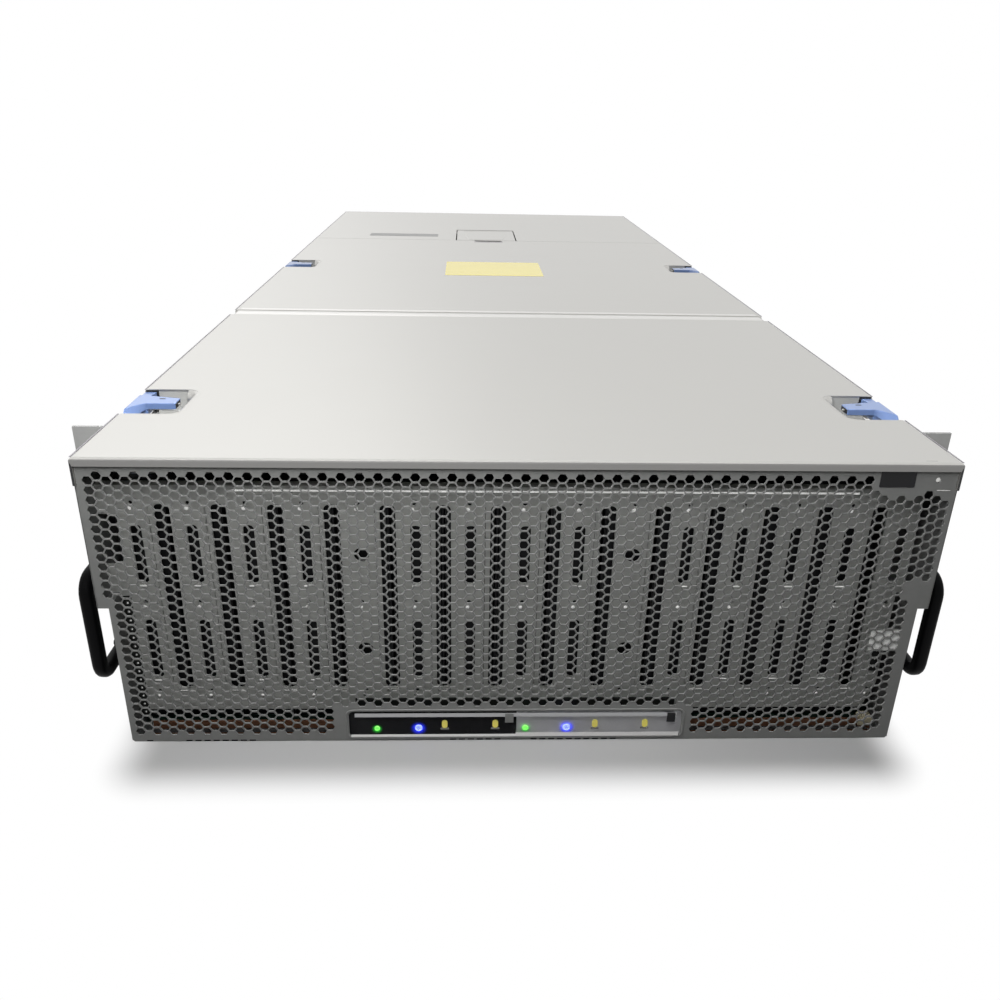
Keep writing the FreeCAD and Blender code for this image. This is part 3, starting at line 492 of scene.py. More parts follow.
class Grain(Enum):
    """Surface textures as stretch along X, Y and Z, and scale."""

    BRUSHED_ACROSS = ((0.02, 1.0, 1.0), 900.0)
    BRUSHED_ALONG = ((1.0, 0.02, 1.0), 900.0)
    PLATED = ((1.0, 1.0, 1.0), 160.0)
    PAINTED = ((1.0, 1.0, 1.0), 1400.0)
    MOULDED = ((1.0, 1.0, 1.0), 2600.0)


@dataclass(frozen=True)
class Surface:
    """A finish: its name, the slot of the record that it fills, and its colour."""

    name: str
    slot: str
    colour: Colour

    def material(self) -> bpy.types.Material:
        """Return the finish's material, made on first use."""
        made = bpy.data.materials.get(self.name)
        if made:
            return made
        made = bpy.data.materials.new(self.name)
        made.use_nodes = True
        tree = Tree(made.node_tree)
        end = tree.node("OutputMaterial")
        skin = tree.node("BsdfPrincipled")
        self.paint(tree, skin)
        tree.join(skin.outputs[0], end.inputs[0])
        return made

    def paint(self, tree: Tree, skin: bpy.types.Node) -> None:
        """Set up the shader; each kind of finish has its own way."""
        raise NotImplementedError


@dataclass(frozen=True)
class Finish(Surface):
    """An opaque finish with grain, soft patches and worn edges."""

    grain: Grain
    metallic: float = 0.0
    roughness: float = 0.5
    spread: float = 0.08
    shade: float = 0.06
    patches: float = 0.05
    relief: float = 0.15
    worn: Colour | None = None
    coat: float = 0.0
    glow: float = 0.0
    specular: float = 0.5
    patch_scale: float = 9.0
    patch_share: float = 6.0
    wear_radius: float = 0.0007
    wear_share: float = 0.7
    relief_depth: float = 0.0002

    def paint(self, tree: Tree, skin: bpy.types.Node) -> None:
        """Give the shader its grain, patches, wear, relief and glow."""
        skin.inputs["Metallic"].default_value = self.metallic
        skin.inputs["Coat Weight"].default_value = self.coat
        skin.inputs["Specular IOR Level"].default_value = self.specular
        stretch, scale = self.grain.value
        grain = Effect.GRAIN.place(tree, stretch=stretch, scale=scale)
        patch = Effect.BLOTCH.place(tree, scale=self.patch_scale)
        dark, light = (tuple(part * (1 + sign * self.shade) for part in self.colour) for sign in (-1, 1))
        colour = tree.mixed(grain, dark, light)
        faded = tuple(part * (1 - 2 * self.patches) for part in self.colour)
        colour = tree.mixed(tree.scaled(patch, (0, self.patches * self.patch_share)), colour, faded)
        if self.worn:
            wear = Effect.WEAR.place(tree, radius=self.wear_radius)
            colour = tree.mixed(tree.scaled(wear, (0, self.wear_share)), colour, self.worn)
        tree.join(colour, skin.inputs["Base Color"])
        tree.join(tree.scaled(grain, about(self.roughness, self.spread)), skin.inputs["Roughness"])
        if self.relief:
            bump = tree.node("Bump", {"Strength": self.relief, "Distance": self.relief_depth})
            tree.join(grain, bump.inputs["Height"])
            tree.join(bump.outputs[0], skin.inputs["Normal"])
        if self.glow:
            tree.join(colour, skin.inputs["Emission Color"])
            skin.inputs["Emission Strength"].default_value = self.glow


@dataclass(frozen=True)
class ClearFinish(Surface):
    """A thin clear plastic with faint haze."""

    cover: Span = (0.03, 0.08)
    roughness: float = 0.12
    specular: float = 0.2
    haze_scale: float = 60.0

    def paint(self, tree: Tree, skin: bpy.types.Node) -> None:
        """Make the shader almost clear, with a haze in soft patches."""
        skin.inputs["Base Color"].default_value = (*self.colour, 1.0)
        skin.inputs["Roughness"].default_value = self.roughness
        skin.inputs["Specular IOR Level"].default_value = self.specular
        haze = Effect.BLOTCH.place(tree, scale=self.haze_scale)
        tree.join(tree.scaled(haze, self.cover), skin.inputs["Alpha"])


@dataclass(frozen=True)
class HaloFinish(Surface):
    """The soft round glow that a light leaves on the window."""

    strength: float
    cover: float = 0.5
    reach: float = 0.5

    def paint(self, tree: Tree, skin: bpy.types.Node) -> None:
        """Make the shader glow, and fade it towards the rim."""
        for socket in ("Base Color", "Emission Color"):
            skin.inputs[socket].default_value = (*self.colour, 1.0)
        skin.inputs["Emission Strength"].default_value = self.strength
        skin.inputs["Roughness"].default_value = 1.0
        glow = Effect.GLOW.place(tree, reach=self.reach)
        tree.join(tree.scaled(glow, (0, self.cover)), skin.inputs["Alpha"])


COVER_STEEL = Finish("satin_cover_steel", "cover_steel", (0.562, 0.555, 0.532), Grain.BRUSHED_ACROSS,
                     metallic=0.9, roughness=0.40, spread=0.05, shade=0.03, patches=0.025, relief=0.06)
# painted shade: a darker copy of the cover steel for the front lip's face
LIP_SHADE_STEEL = Finish("cover_lip_painted_shade", "cover_steel", (0.25, 0.247, 0.240), Grain.PLATED,
                   metallic=0.6, roughness=0.45, shade=0.04, patches=0.03, relief=0.05)
# painted light: a lighter, matte copy of the cover steel that brightens the shaded latch pockets
PAN_LIT_STEEL = Finish("latch_pan_painted_light_steel", "cover_steel", (0.52, 0.52, 0.50), Grain.PLATED,
                   metallic=0.1, roughness=0.45, shade=0.04, patches=0.03, relief=0.05)
CHASSIS_STEEL = Finish("plain_chassis_steel", "chassis_steel", (0.42, 0.425, 0.425), Grain.PLATED,
                       metallic=0.9, roughness=0.42, shade=0.05, patches=0.05, relief=0.05)
# painted shade: a near-black copy of the chassis steel for shaded faces
STRIP_SHADE_DARK = Finish("strip_painted_shade_dark", "chassis_steel", (0.05, 0.051, 0.052), Grain.PLATED,
                     roughness=0.55, shade=0.08, relief=0.05, specular=0.2)
GRILLE_GREY = Finish("grille_steel", "grille_grey", (0.225, 0.228, 0.222), Grain.PLATED,
                     roughness=0.45, shade=0.06, patches=0.05, relief=0.04, specular=0.1)
BAFFLE_STEEL = Finish("bent_baffle_steel", "baffle_steel", (0.42, 0.424, 0.408), Grain.PLATED,
                      roughness=0.5, shade=0.10, patches=0.08, relief=0.05, specular=0.12)
EAR_GREY = Finish("ear_steel", "grille_grey", (0.38, 0.382, 0.376), Grain.PLATED,
                  metallic=0.1, roughness=0.45, shade=0.06, patches=0.05, relief=0.04, specular=0.4)
# bright metal of the rivets and gasket fingers, also painted highlights: the left part of the baffle's
# bend and the spots under the right amber lights
RIVET_AND_HIGHLIGHT_BRIGHT = Finish("bright_rivet_and_painted_highlight", "baffle_steel", (0.90, 0.90, 0.88), Grain.PLATED,
                      metallic=0.9, roughness=0.25, shade=0.05)
HANDLE_BLACK = Finish("painted_handle_black", "handle_black", (0.002, 0.002, 0.0023), Grain.PAINTED,
                      roughness=0.45, spread=0.06, shade=0.25, worn=(0.008, 0.008, 0.008),
                      relief=0.12, specular=0.05)
LATCH_BLUE = Finish("moulded_latch_blue", "latch_blue", (0.155, 0.24, 0.48), Grain.MOULDED,
                    roughness=0.32, spread=0.05, shade=0.03, patches=0.02, relief=0.08, coat=0.4)
WINDOW_CLEAR = ClearFinish("clear_window_plastic", "window_clear", (0.14, 0.14, 0.148))
# painted highlights: pale strips for the bright lines along the window's top and bottom edges
RIDGE_HIGHLIGHT = Finish("window_ridge_painted_highlight", "window_clear", (0.42, 0.42, 0.43), Grain.MOULDED,
                      roughness=0.25, spread=0.05, shade=0.08, relief=0.02)
LEDGE_HIGHLIGHT = Finish("window_ledge_painted_highlight", "window_clear", (0.74, 0.73, 0.72), Grain.MOULDED,
                    roughness=0.25, spread=0.05, shade=0.06, relief=0.02)
# black print of the left insert, also the painted shadow in the grille's bottom notches
INSERT_AND_SHADE_BLACK = Finish("printed_insert_and_painted_shade_black", "insert_black", (0.006, 0.006, 0.007), Grain.MOULDED,
                      roughness=0.35, spread=0.04, shade=0.2, relief=0.02, specular=0.02)
INSERT_SILVER = Finish("printed_insert_silver", "insert_silver", (0.62, 0.62, 0.64), Grain.PAINTED,
                       metallic=0.2, roughness=0.4, shade=0.05, relief=0.05)
BOARD_GREEN = Finish("lacquered_board_green", "board_green", (0.018, 0.11, 0.05), Grain.BRUSHED_ALONG,
                     roughness=0.38, shade=0.25, patches=0.06, relief=0.1)
# painted shade: a near-black copy of the board green, so the backplanes seen through the front read as
# shade
BACKPLANE_SHADE_GREEN = Finish("backplane_painted_shade_green", "board_green", (0.005, 0.016, 0.010), Grain.PAINTED,
                         roughness=0.5, shade=0.2, specular=0.15)
LED_GREEN = Finish("light_green", "led_green", (0.42, 1.0, 0.22), Grain.MOULDED, shade=0.05, glow=1.4)
LED_BLUE = Finish("light_blue", "led_blue", (0.45, 0.55, 1.0), Grain.MOULDED, shade=0.05, glow=2.4)
LED_AMBER = Finish("light_amber", "led_amber", (0.66, 0.58, 0.12), Grain.MOULDED, shade=0.1, glow=0.42)
HALO_GREEN = HaloFinish("halo_green", "led_green", (0.05, 0.80, 0.08), 0.7)
HALO_BLUE = HaloFinish("halo_blue", "led_blue", (0.02, 0.04, 1.0), 1.3)
COPPER = Finish("sprung_copper", "copper_strip", (0.21, 0.098, 0.056), Grain.BRUSHED_ACROSS,
                metallic=0.4, roughness=0.45, shade=0.12, patches=0.1, specular=0.3)
DRIVE_METAL = Finish("cast_drive_metal", "drive_metal", (0.40, 0.40, 0.41), Grain.PLATED,
                     metallic=0.9, roughness=0.38, shade=0.08)
FAN_BLACK = Finish("moulded_fan_black", "fan_black", (0.010, 0.010, 0.011), Grain.MOULDED,
                   roughness=0.5, shade=0.2, specular=0.15)
SINK_METAL = Finish("extruded_sink_metal", "heatsink_metal", (0.55, 0.55, 0.56), Grain.BRUSHED_ALONG,
                    metallic=0.9, roughness=0.34, shade=0.06)
MEMORY_BLACK = Finish("memory_board", "memory_black", (0.012, 0.045, 0.025), Grain.PAINTED,
                      roughness=0.4, shade=0.3)
BUTTON_BLACK = Finish("moulded_button_black", "button_black", (0.02, 0.02, 0.021), Grain.MOULDED,
                      roughness=0.4, shade=0.2, specular=0.3)
PSU_METAL = Finish("supply_case", "psu_metal", (0.40, 0.405, 0.405), Grain.PLATED,
                   metallic=0.9, roughness=0.4, shade=0.06, patches=0.05)
LABEL_YELLOW = Finish("label_yellow", "cover_steel", (0.86, 0.72, 0.06), Grain.PAINTED,
                      roughness=0.22, spread=0.05, shade=0.04, patches=0.05, relief=0.03, coat=0.3)
# grey of the plain label strip, also the painted highlights under the left amber lights
GREY_LABEL_AND_HIGHLIGHT = Finish("grey_label_and_painted_highlight", "cover_steel", (0.36, 0.36, 0.355), Grain.PAINTED,
                    roughness=0.55, shade=0.06, relief=0.05)
LABEL_BLACK = Finish("label_black", "grille_grey", (0.010, 0.010, 0.011), Grain.PAINTED,
                     roughness=0.45, shade=0.2, relief=0.05, specular=0.2)
LABEL_WHITE = Finish("label_white", "baffle_steel", (0.95, 0.95, 0.93), Grain.PAINTED,
                     roughness=0.6, shade=0.03, relief=0.05)
CONNECTOR_CREAM = Finish("connector_cream", "board_green", (0.62, 0.56, 0.40), Grain.MOULDED,
                         roughness=0.5, shade=0.06)
CONNECTOR_BLACK = Finish("connector_black", "button_black", (0.016, 0.016, 0.017), Grain.MOULDED,
                         roughness=0.42, shade=0.2, specular=0.3)
SCREW_METAL = Finish("screw_zinc", "chassis_steel", (0.62, 0.62, 0.60), Grain.PAINTED,
                     metallic=0.8, roughness=0.3, shade=0.08)
# painted highlight: near-white metal for the strip along the baffle's top bend
BEND_HIGHLIGHT = Finish("bend_painted_highlight", "baffle_steel", (0.96, 0.96, 0.94), Grain.PLATED,
                   metallic=0.8, roughness=0.3, shade=0.03)
# painted shade: a dark copy of the chassis steel for the side walls' inner faces
WALL_SHADE_GREY = Finish("inner_wall_painted_shade", "chassis_steel", (0.15, 0.152, 0.148), Grain.PLATED,
                   roughness=0.55, shade=0.15, patches=0.12, relief=0.05, specular=0.2)
# painted highlight: a lighter copy of the cover steel for the raised seam beads
SEAM_HIGHLIGHT_STEEL = Finish("seam_painted_highlight_steel", "cover_steel", (0.70, 0.69, 0.67), Grain.BRUSHED_ACROSS,
                     metallic=0.8, roughness=0.35, shade=0.03, patches=0.02, relief=0.04)
# painted shade: dark strips along the covers' edges and in the finger scoop
EDGE_SHADE_GREY = Finish("cover_edge_painted_shade", "cover_steel", (0.27, 0.255, 0.275), Grain.PLATED,
                   metallic=0.3, roughness=0.4, shade=0.08)
# dark gasket strips, also the painted shade on the indicator board's top and front faces
GASKET_AND_SHADE_DARK = Finish("gasket_dark_and_painted_shade", "baffle_steel", (0.012, 0.013, 0.012), Grain.PAINTED,
                     roughness=0.6, shade=0.2, specular=0.2)
# painted shadow: dark faces and plates where the flanges' front ends and the pockets' back walls lie in
# shade
FOLD_DARK = Finish("fold_shadow", "cover_steel", (0.020, 0.020, 0.021), Grain.PAINTED, roughness=0.6)


@dataclass
class FrontGrille:
    """The stepped front panel with its fine field of hexagonal holes."""

    upper_half: float = 223.4
    shoulder: Point = (222.2, 157.5)
    step_rise: float = 87.2
    top: float = 170.5
    thick: Span = (1.5, 2.35)
    column_step: float = 4.629
    first_column: float = -212.2
    row_pitch: float = 5.385
    top_row: float = 162.95
    web: float = 0.75
    field_rise: Span = (4.2, 166.5)
    wide_limits: Span = (-219.7, 221.1)
    narrow_limits: Span = (-215.0, 214.2)
    plain_corner: Point = (179.6, 157.6)
    under_label: tuple[float, float, float] = (186.0, 204.0, 156.0)
    last_column: float = 216.0
    plain_patch: tuple[float, float, float] = (209.5, 93.2, 103.5)
    left_step: float = 95.0
    window_frame: tuple[float, float, float] = (-101.5, 99.5, 23.2)
    label: tuple[Span, Span] = ((182.0, 200.3), (159.3, 168.0))
    screw_hole: tuple[float, float, float] = (212.3, 163.3, 1.5)
    crease: tuple[Span, Span] = ((212.5, 219.5), (157.45, 157.8))
    teeth: tuple[tuple[float, int], ...] = ((-209.5, 1), (-187.5, 8), (-37.8, 6), (8.5, 10))
    tooth_pitch: float = 5.1
    tooth_wide: float = 3.5
    tooth_depth: Span = (-0.06, 0.1)
    tooth_rise: Span = (0.1, 0.9)
    columns: range = range(-1, 94)
    lines: int = 31
    corner_cut: float = 0.8
    window_corner: float = 3.0
    label_proud: Span = (-0.25, 0.0)
    label_corner: float = 0.6
    screw_head: tuple[Point, ...] = ((1.5, 0.9), (1.5, 0.5), (0.8, 0.1))
    crease_depth: Span = (-0.2, 0.1)
    lip_reach: tuple[float, float, float] = (1.2, 0.3, 1.0)
    lip_corner: float = 4.0
    lip_section: tuple[Point, ...] = ((-0.1, -0.7), (0.4, -0.4), (0.4, 0.4), (-0.1, 0.7))
    fold: Span = (-0.1, 0.6)
    fold_back: float = 14.0

    def allowed(self, x: float, z: float, reach: float, half: float) -> bool:
        """Say whether a hole fits the perforated field.

        Args:
            x: Middle of the hole across.
            z: Middle of the hole up.
            reach: Half its width.
            half: Half its height.

        Returns:
            True where the panel is perforated.
        """
        if z - half < self.field_rise[0] or z + half > self.field_rise[1]:
            return False
        if x + reach > self.plain_corner[0] and z + half > self.plain_corner[1]:
            return False
        left, right, limit = self.under_label
        if z + half > limit and (left < x < right or x > self.last_column):
            return False
        edge, low, high = self.plain_patch
        if x + reach > edge and z + half > low and z - half < high:
            return False
        left = self.wide_limits[0] if z > self.left_step else self.narrow_limits[0]
        right = self.wide_limits[1] if z > low else self.narrow_limits[1]
        if x - reach < left or x + reach > right:
            return False
        left, right, high = self.window_frame
        return x + reach < left or x - reach > right or z - half > high

    def holes(self) -> list[Loop]:
        """Return the hexagonal holes of the field."""
        across = self.row_pitch - self.web
        reach = across / math.sqrt(3)
        found = []
        for column in self.columns:
            x = self.first_column + self.column_step * column
            for line in range(self.lines):
                z = self.top_row - self.row_pitch * (line + (column % 2) / 2)
                if self.allowed(x, z, reach, across / 2):
                    found.append(regular(x, z, reach, 6))
        return found

    def build(self) -> None:
        """Make the panel, its bare label plate and its fixing screw."""
        shoulder, shoulder_rise = self.shoulder
        cut = self.corner_cut
        right = [(WALL - cut, 0.0), (WALL, cut)]
        right += [(WALL, self.step_rise), (self.upper_half, self.step_rise)]
        right += [(self.upper_half, shoulder_rise), (shoulder, shoulder_rise), (shoulder, self.top)]
        outline = right + [(-x, z) for x, z in reversed(right)]
        holes = self.holes()
        holes.append(rounded(about(0.0, WINDOW_HALF), WINDOW_RISE, self.window_corner))
        x, z, radius = self.screw_hole
        holes.append(regular(x, z, radius, 16))
        sheet = Shape().plate(outline, holes, self.thick, Axis.Y)
        panel = make_piece("grille_panel", sheet, Trim(GRILLE_GREY))
        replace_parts(panel, "front_grille")
        front = self.thick[0]
        plate = rounded(*self.label, self.label_corner)
        label = Shape().prism(plate, shifted(self.label_proud, front), Axis.Y)
        make_piece("grille_label", label, Trim(LABEL_BLACK))
        head = [(reach, front + depth) for reach, depth in self.screw_head]
        marks = Shape().turned(head, (x, z), Axis.Y, 16)
        marks.block(self.crease[0], shifted(self.crease_depth, front), self.crease[1])
        make_piece("grille_screw", marks, Trim(SCREW_METAL))
        self.bottom_notch_shadows()
        self.window_lip()
        self.returns()

    def bottom_notch_shadows(self) -> None:
        """Make black blocks along the panel's bottom edge, painted shadow in its notches."""
        dark = Shape()
        depth = shifted(self.tooth_depth, self.thick[0])
        for start, count in self.teeth:
            for number in range(count):
                left = start + self.tooth_pitch * number
                dark.block((left, left + self.tooth_wide), depth, self.tooth_rise)
        make_piece("grille_bottom_notches", dark, Trim(INSERT_AND_SHADE_BLACK))

    def window_lip(self) -> None:
        """Make the raised rim round the window opening."""
        side, under, over = self.lip_reach
        low, high = WINDOW_RISE
        across = about(0.0, WINDOW_HALF + side)
        edge = rounded(across, (low - under, high + over), self.lip_corner)
        path = [(x, self.thick[0], z) for x, z in edge]
        lip = Shape().swept(path, self.lip_section, (0.0, -1.0, 0.0), closed=True)
        make_piece("window_lip", lip, Trim(GRILLE_GREY))

    def returns(self) -> None:
        """Make the panel's side edges, folded back beside the walls."""
        shape = Shape()
        for sign in SIDES.values():
            for half, z in ((WALL, (self.corner_cut, self.step_rise)),
                            (self.upper_half - self.fold[1], (self.step_rise, self.shoulder[1]))):
                low, high = sorted(sign * edge for edge in shifted(self.fold, half))
                shape.block((low, high), (self.thick[0], self.fold_back), z)
        make_piece("grille_returns", shape, Trim(GRILLE_GREY, bevel=0.25))


@dataclass
class DriveBaffle:
    """The slotted plate behind the grille, with its rivets, and the cable channel beside it."""

    front: float = 15.0
    thick: float = 1.2
    flange: float = 5.0
    right: float = 214.5
    lower_right: float = 211.2
    corner: Point = (205.3, 29.0)
    lower_left: float = -215.8
    upper_left: float = -220.3
    rise: Span = (12.0, 151.2)
    step: float = 89.7
    notch: tuple[float, float, float] = (-211.0, 106.5, 136.0)
    pitch: float = 29.26
    first: float = -202.3
    columns: int = 15
    blank: tuple[int, ...] = (4, 9)
    long_slot: tuple[float, float, float] = (8.3, 27.0, 141.8)
    short_slots: tuple[tuple[float, float, float], ...] = ((5.8, 95.0, 129.8), (5.8, 34.0, 72.0))
    slit: tuple[float, float] = (7.6, 7.95)
    rivet_rises: tuple[float, ...] = (142.5, 83.4, 25.0)
    bend_glint_rise: float = 150.0
    bend_glint_spans: tuple[Span, ...] = ((-150.0, -40.0), (-40.0, 179.0))
    gaskets: tuple[tuple[Span, float, float, int], ...] = (
        ((-215.8, -210.4), -212.7, 83.2, 14), ((205.0, 209.6), 207.2, 52.0, 3))
    gasket_pitch: float = 5.548
    gasket_thick: float = 0.6
    gasket_ends: Span = (-3.0, 4.0)
    finger: tuple[Point, ...] = ((0.8, 0.0), (0.7, -0.4), (0.3, -0.6))
    peep_radius: float = 4.2
    short_corner: float = 2.4
    long_corner: float = 3.0
    slit_short: float = 1.0
    rivet_hole: Point = (-0.7, 1.2)
    rivet_shift: Point = (-1.5, -3.0)
    rivet_dome: tuple[Point, ...] = ((1.2, 0.0), (1.1, -0.5), (0.5, -0.8))
    lip_proud: float = 0.6
    short_lip: tuple[float, Span] = (2.4, (-1.7, -0.9))
    long_lip: tuple[float, Span] = (3.6, (-1.8, -1.1))
    bend_glint_section: tuple[Point, ...] = ((0.0, -0.65), (-0.7, -0.55), (-0.7, 0.55), (0.0, 0.65))
    bracket: Box = ((194.8, 215.8), (2.9, 3.7), (59.0, 73.0))
    sticker: Box = ((195.4, 212.2), (2.75, 2.9), (59.8, 72.3))
    sticker_corner: float = 0.6
    foot: Box = ((203.0, 209.8), (8.6, 13.4), (1.2, 3.6))
    socket: tuple[Box, ...] = (
        ((202.4, 210.4), (8.0, 14.0), (3.6, 9.2)), ((203.6, 209.2), (8.6, 13.4), (9.2, 10.2)))

    def column_parts(self) -> list[tuple[int, float, Any, Any]]:
        """Return each column's number, middle, short slots and rivet heights; the last has fewer."""
        last = self.columns - 1
        found = []
        for number in range(self.columns):
            short_slots = self.short_slots[:1] if number == last else self.short_slots
            rivets = self.rivet_rises[1:] if number == last else self.rivet_rises
            found.append((number, self.first + self.pitch * number, short_slots, rivets))
        return found

    def slots(self) -> list[Loop]:
        """Return the slots, slits and peep holes of the plate."""
        found = []
        width, bottom, top = self.long_slot
        for column, middle, short_slots, rivets in self.column_parts():
            for wide, low, high in short_slots:
                if column in self.blank:
                    found.append(regular(middle, (low + high) / 2, self.peep_radius, 18))
                else:
                    found.append(rounded(about(middle, wide / 2), (low, high), self.short_corner))
            aside, radius = self.rivet_hole
            found += [regular(middle + aside, rise, radius, 12) for rise in rivets]
            if column < self.columns - 1:
                short = (bottom + self.slit_short, top - self.slit_short)
                found.append(rectangle(shifted(self.slit, middle), short))
                across = about(middle + self.pitch / 2, width / 2)
                found.append(rounded(across, (bottom, top), self.long_corner))
        return found

    def outline(self) -> Loop:
        """Return the plate's edge, stepped on both sides, notched at the left and cut at the right."""
        low, high = self.rise
        edge, notch_low, notch_high = self.notch
        points = [(self.lower_left, low), (self.corner[0], low), (self.lower_right, self.corner[1])]
        points += [(self.lower_right, self.step), (self.right, self.step), (self.right, high)]
        points += [(self.upper_left, high), (self.upper_left, notch_high), (edge, notch_high)]
        points += [(edge, notch_low), (self.upper_left, notch_low), (self.upper_left, self.step)]
        return points + [(self.lower_left, self.step)]

    def build(self) -> None:
        """Make the plate with its bent top, its rivets and the channel beside it."""
        back = self.front + self.thick
        shape = Shape().plate(self.outline(), self.slots(), (self.front, back), Axis.Y)
        top = (self.rise[1], self.rise[1] + self.thick)
        shape.block((self.upper_left, self.right), (self.front, back + self.flange), top)
        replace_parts(make_piece("baffle_plate", shape, Trim(BAFFLE_STEEL)), "front_baffle")
        bright = Shape()
        dome = [(reach, self.front + depth) for reach, depth in self.rivet_dome]
        proud = (self.front - self.lip_proud, self.front)
        aside, down = self.rivet_shift
        for column, x, short_slots, rivets in self.column_parts():
            for rise in rivets:
                bright.turned(dome, (x + aside, rise + down), Axis.Y, 12)
            if column not in self.blank:
                for _, low, _ in short_slots:
                    bright.block(about(x, self.short_lip[0]), proud, shifted(self.short_lip[1], low))
            if column < self.columns - 1:
                below = shifted(self.long_lip[1], self.long_slot[1])
                bright.block(about(x + self.pitch / 2, self.long_lip[0]), proud, below)
        make_piece("baffle_rivets", bright, Trim(RIVET_AND_HIGHLIGHT_BRIGHT))
        # painted highlight: near-white strips along the bend of the top flange
        section = [(self.front + depth, self.bend_glint_rise + high) for depth, high in self.bend_glint_section]
        for span, finish, name in zip(self.bend_glint_spans, (RIVET_AND_HIGHLIGHT_BRIGHT, BEND_HIGHLIGHT), ("left", "right")):
            make_piece("baffle_bend_highlight_" + name, Shape().prism(section, span, Axis.X), Trim(finish))
        self.gasket_strips()
        self.channel()

    def gasket_strips(self) -> None:
        """Lay the dark sprung strips on the plate, with their row of bright fingers."""
        back = self.front - self.gasket_thick
        finger = [(reach, back + depth) for reach, depth in self.finger]
        strips = Shape()
        fingers = Shape()
        for span, x, rise, count in self.gaskets:
            heights = [rise - self.gasket_pitch * number for number in range(count)]
            ends = (heights[-1] + self.gasket_ends[0], heights[0] + self.gasket_ends[1])
            strips.block(span, (back, self.front), ends)
            for height in heights:
                fingers.turned(finger, (x, height), Axis.Y, 10)
        make_piece("gasket_strips", strips, Trim(GASKET_AND_SHADE_DARK))
        make_piece("gasket_fingers", fingers, Trim(RIVET_AND_HIGHLIGHT_BRIGHT))

    def channel(self) -> None:
        """Make the cable channel at the right, with its plain sticker and socket."""
        make_piece("channel_bracket", Shape().block(*self.bracket), Trim(BAFFLE_STEEL))
        x, y, z = self.sticker
        sticker = Shape().prism(rounded(x, z, self.sticker_corner), y, Axis.Y)
        make_piece("channel_sticker", sticker, Trim(LABEL_WHITE))
        make_piece("channel_foot", Shape().block(*self.foot), Trim(COPPER))
        socket = Shape()
        for part in self.socket:
            socket.block(*part)
        make_piece("channel_socket", socket, Trim(CONNECTOR_CREAM, bevel=0.4))


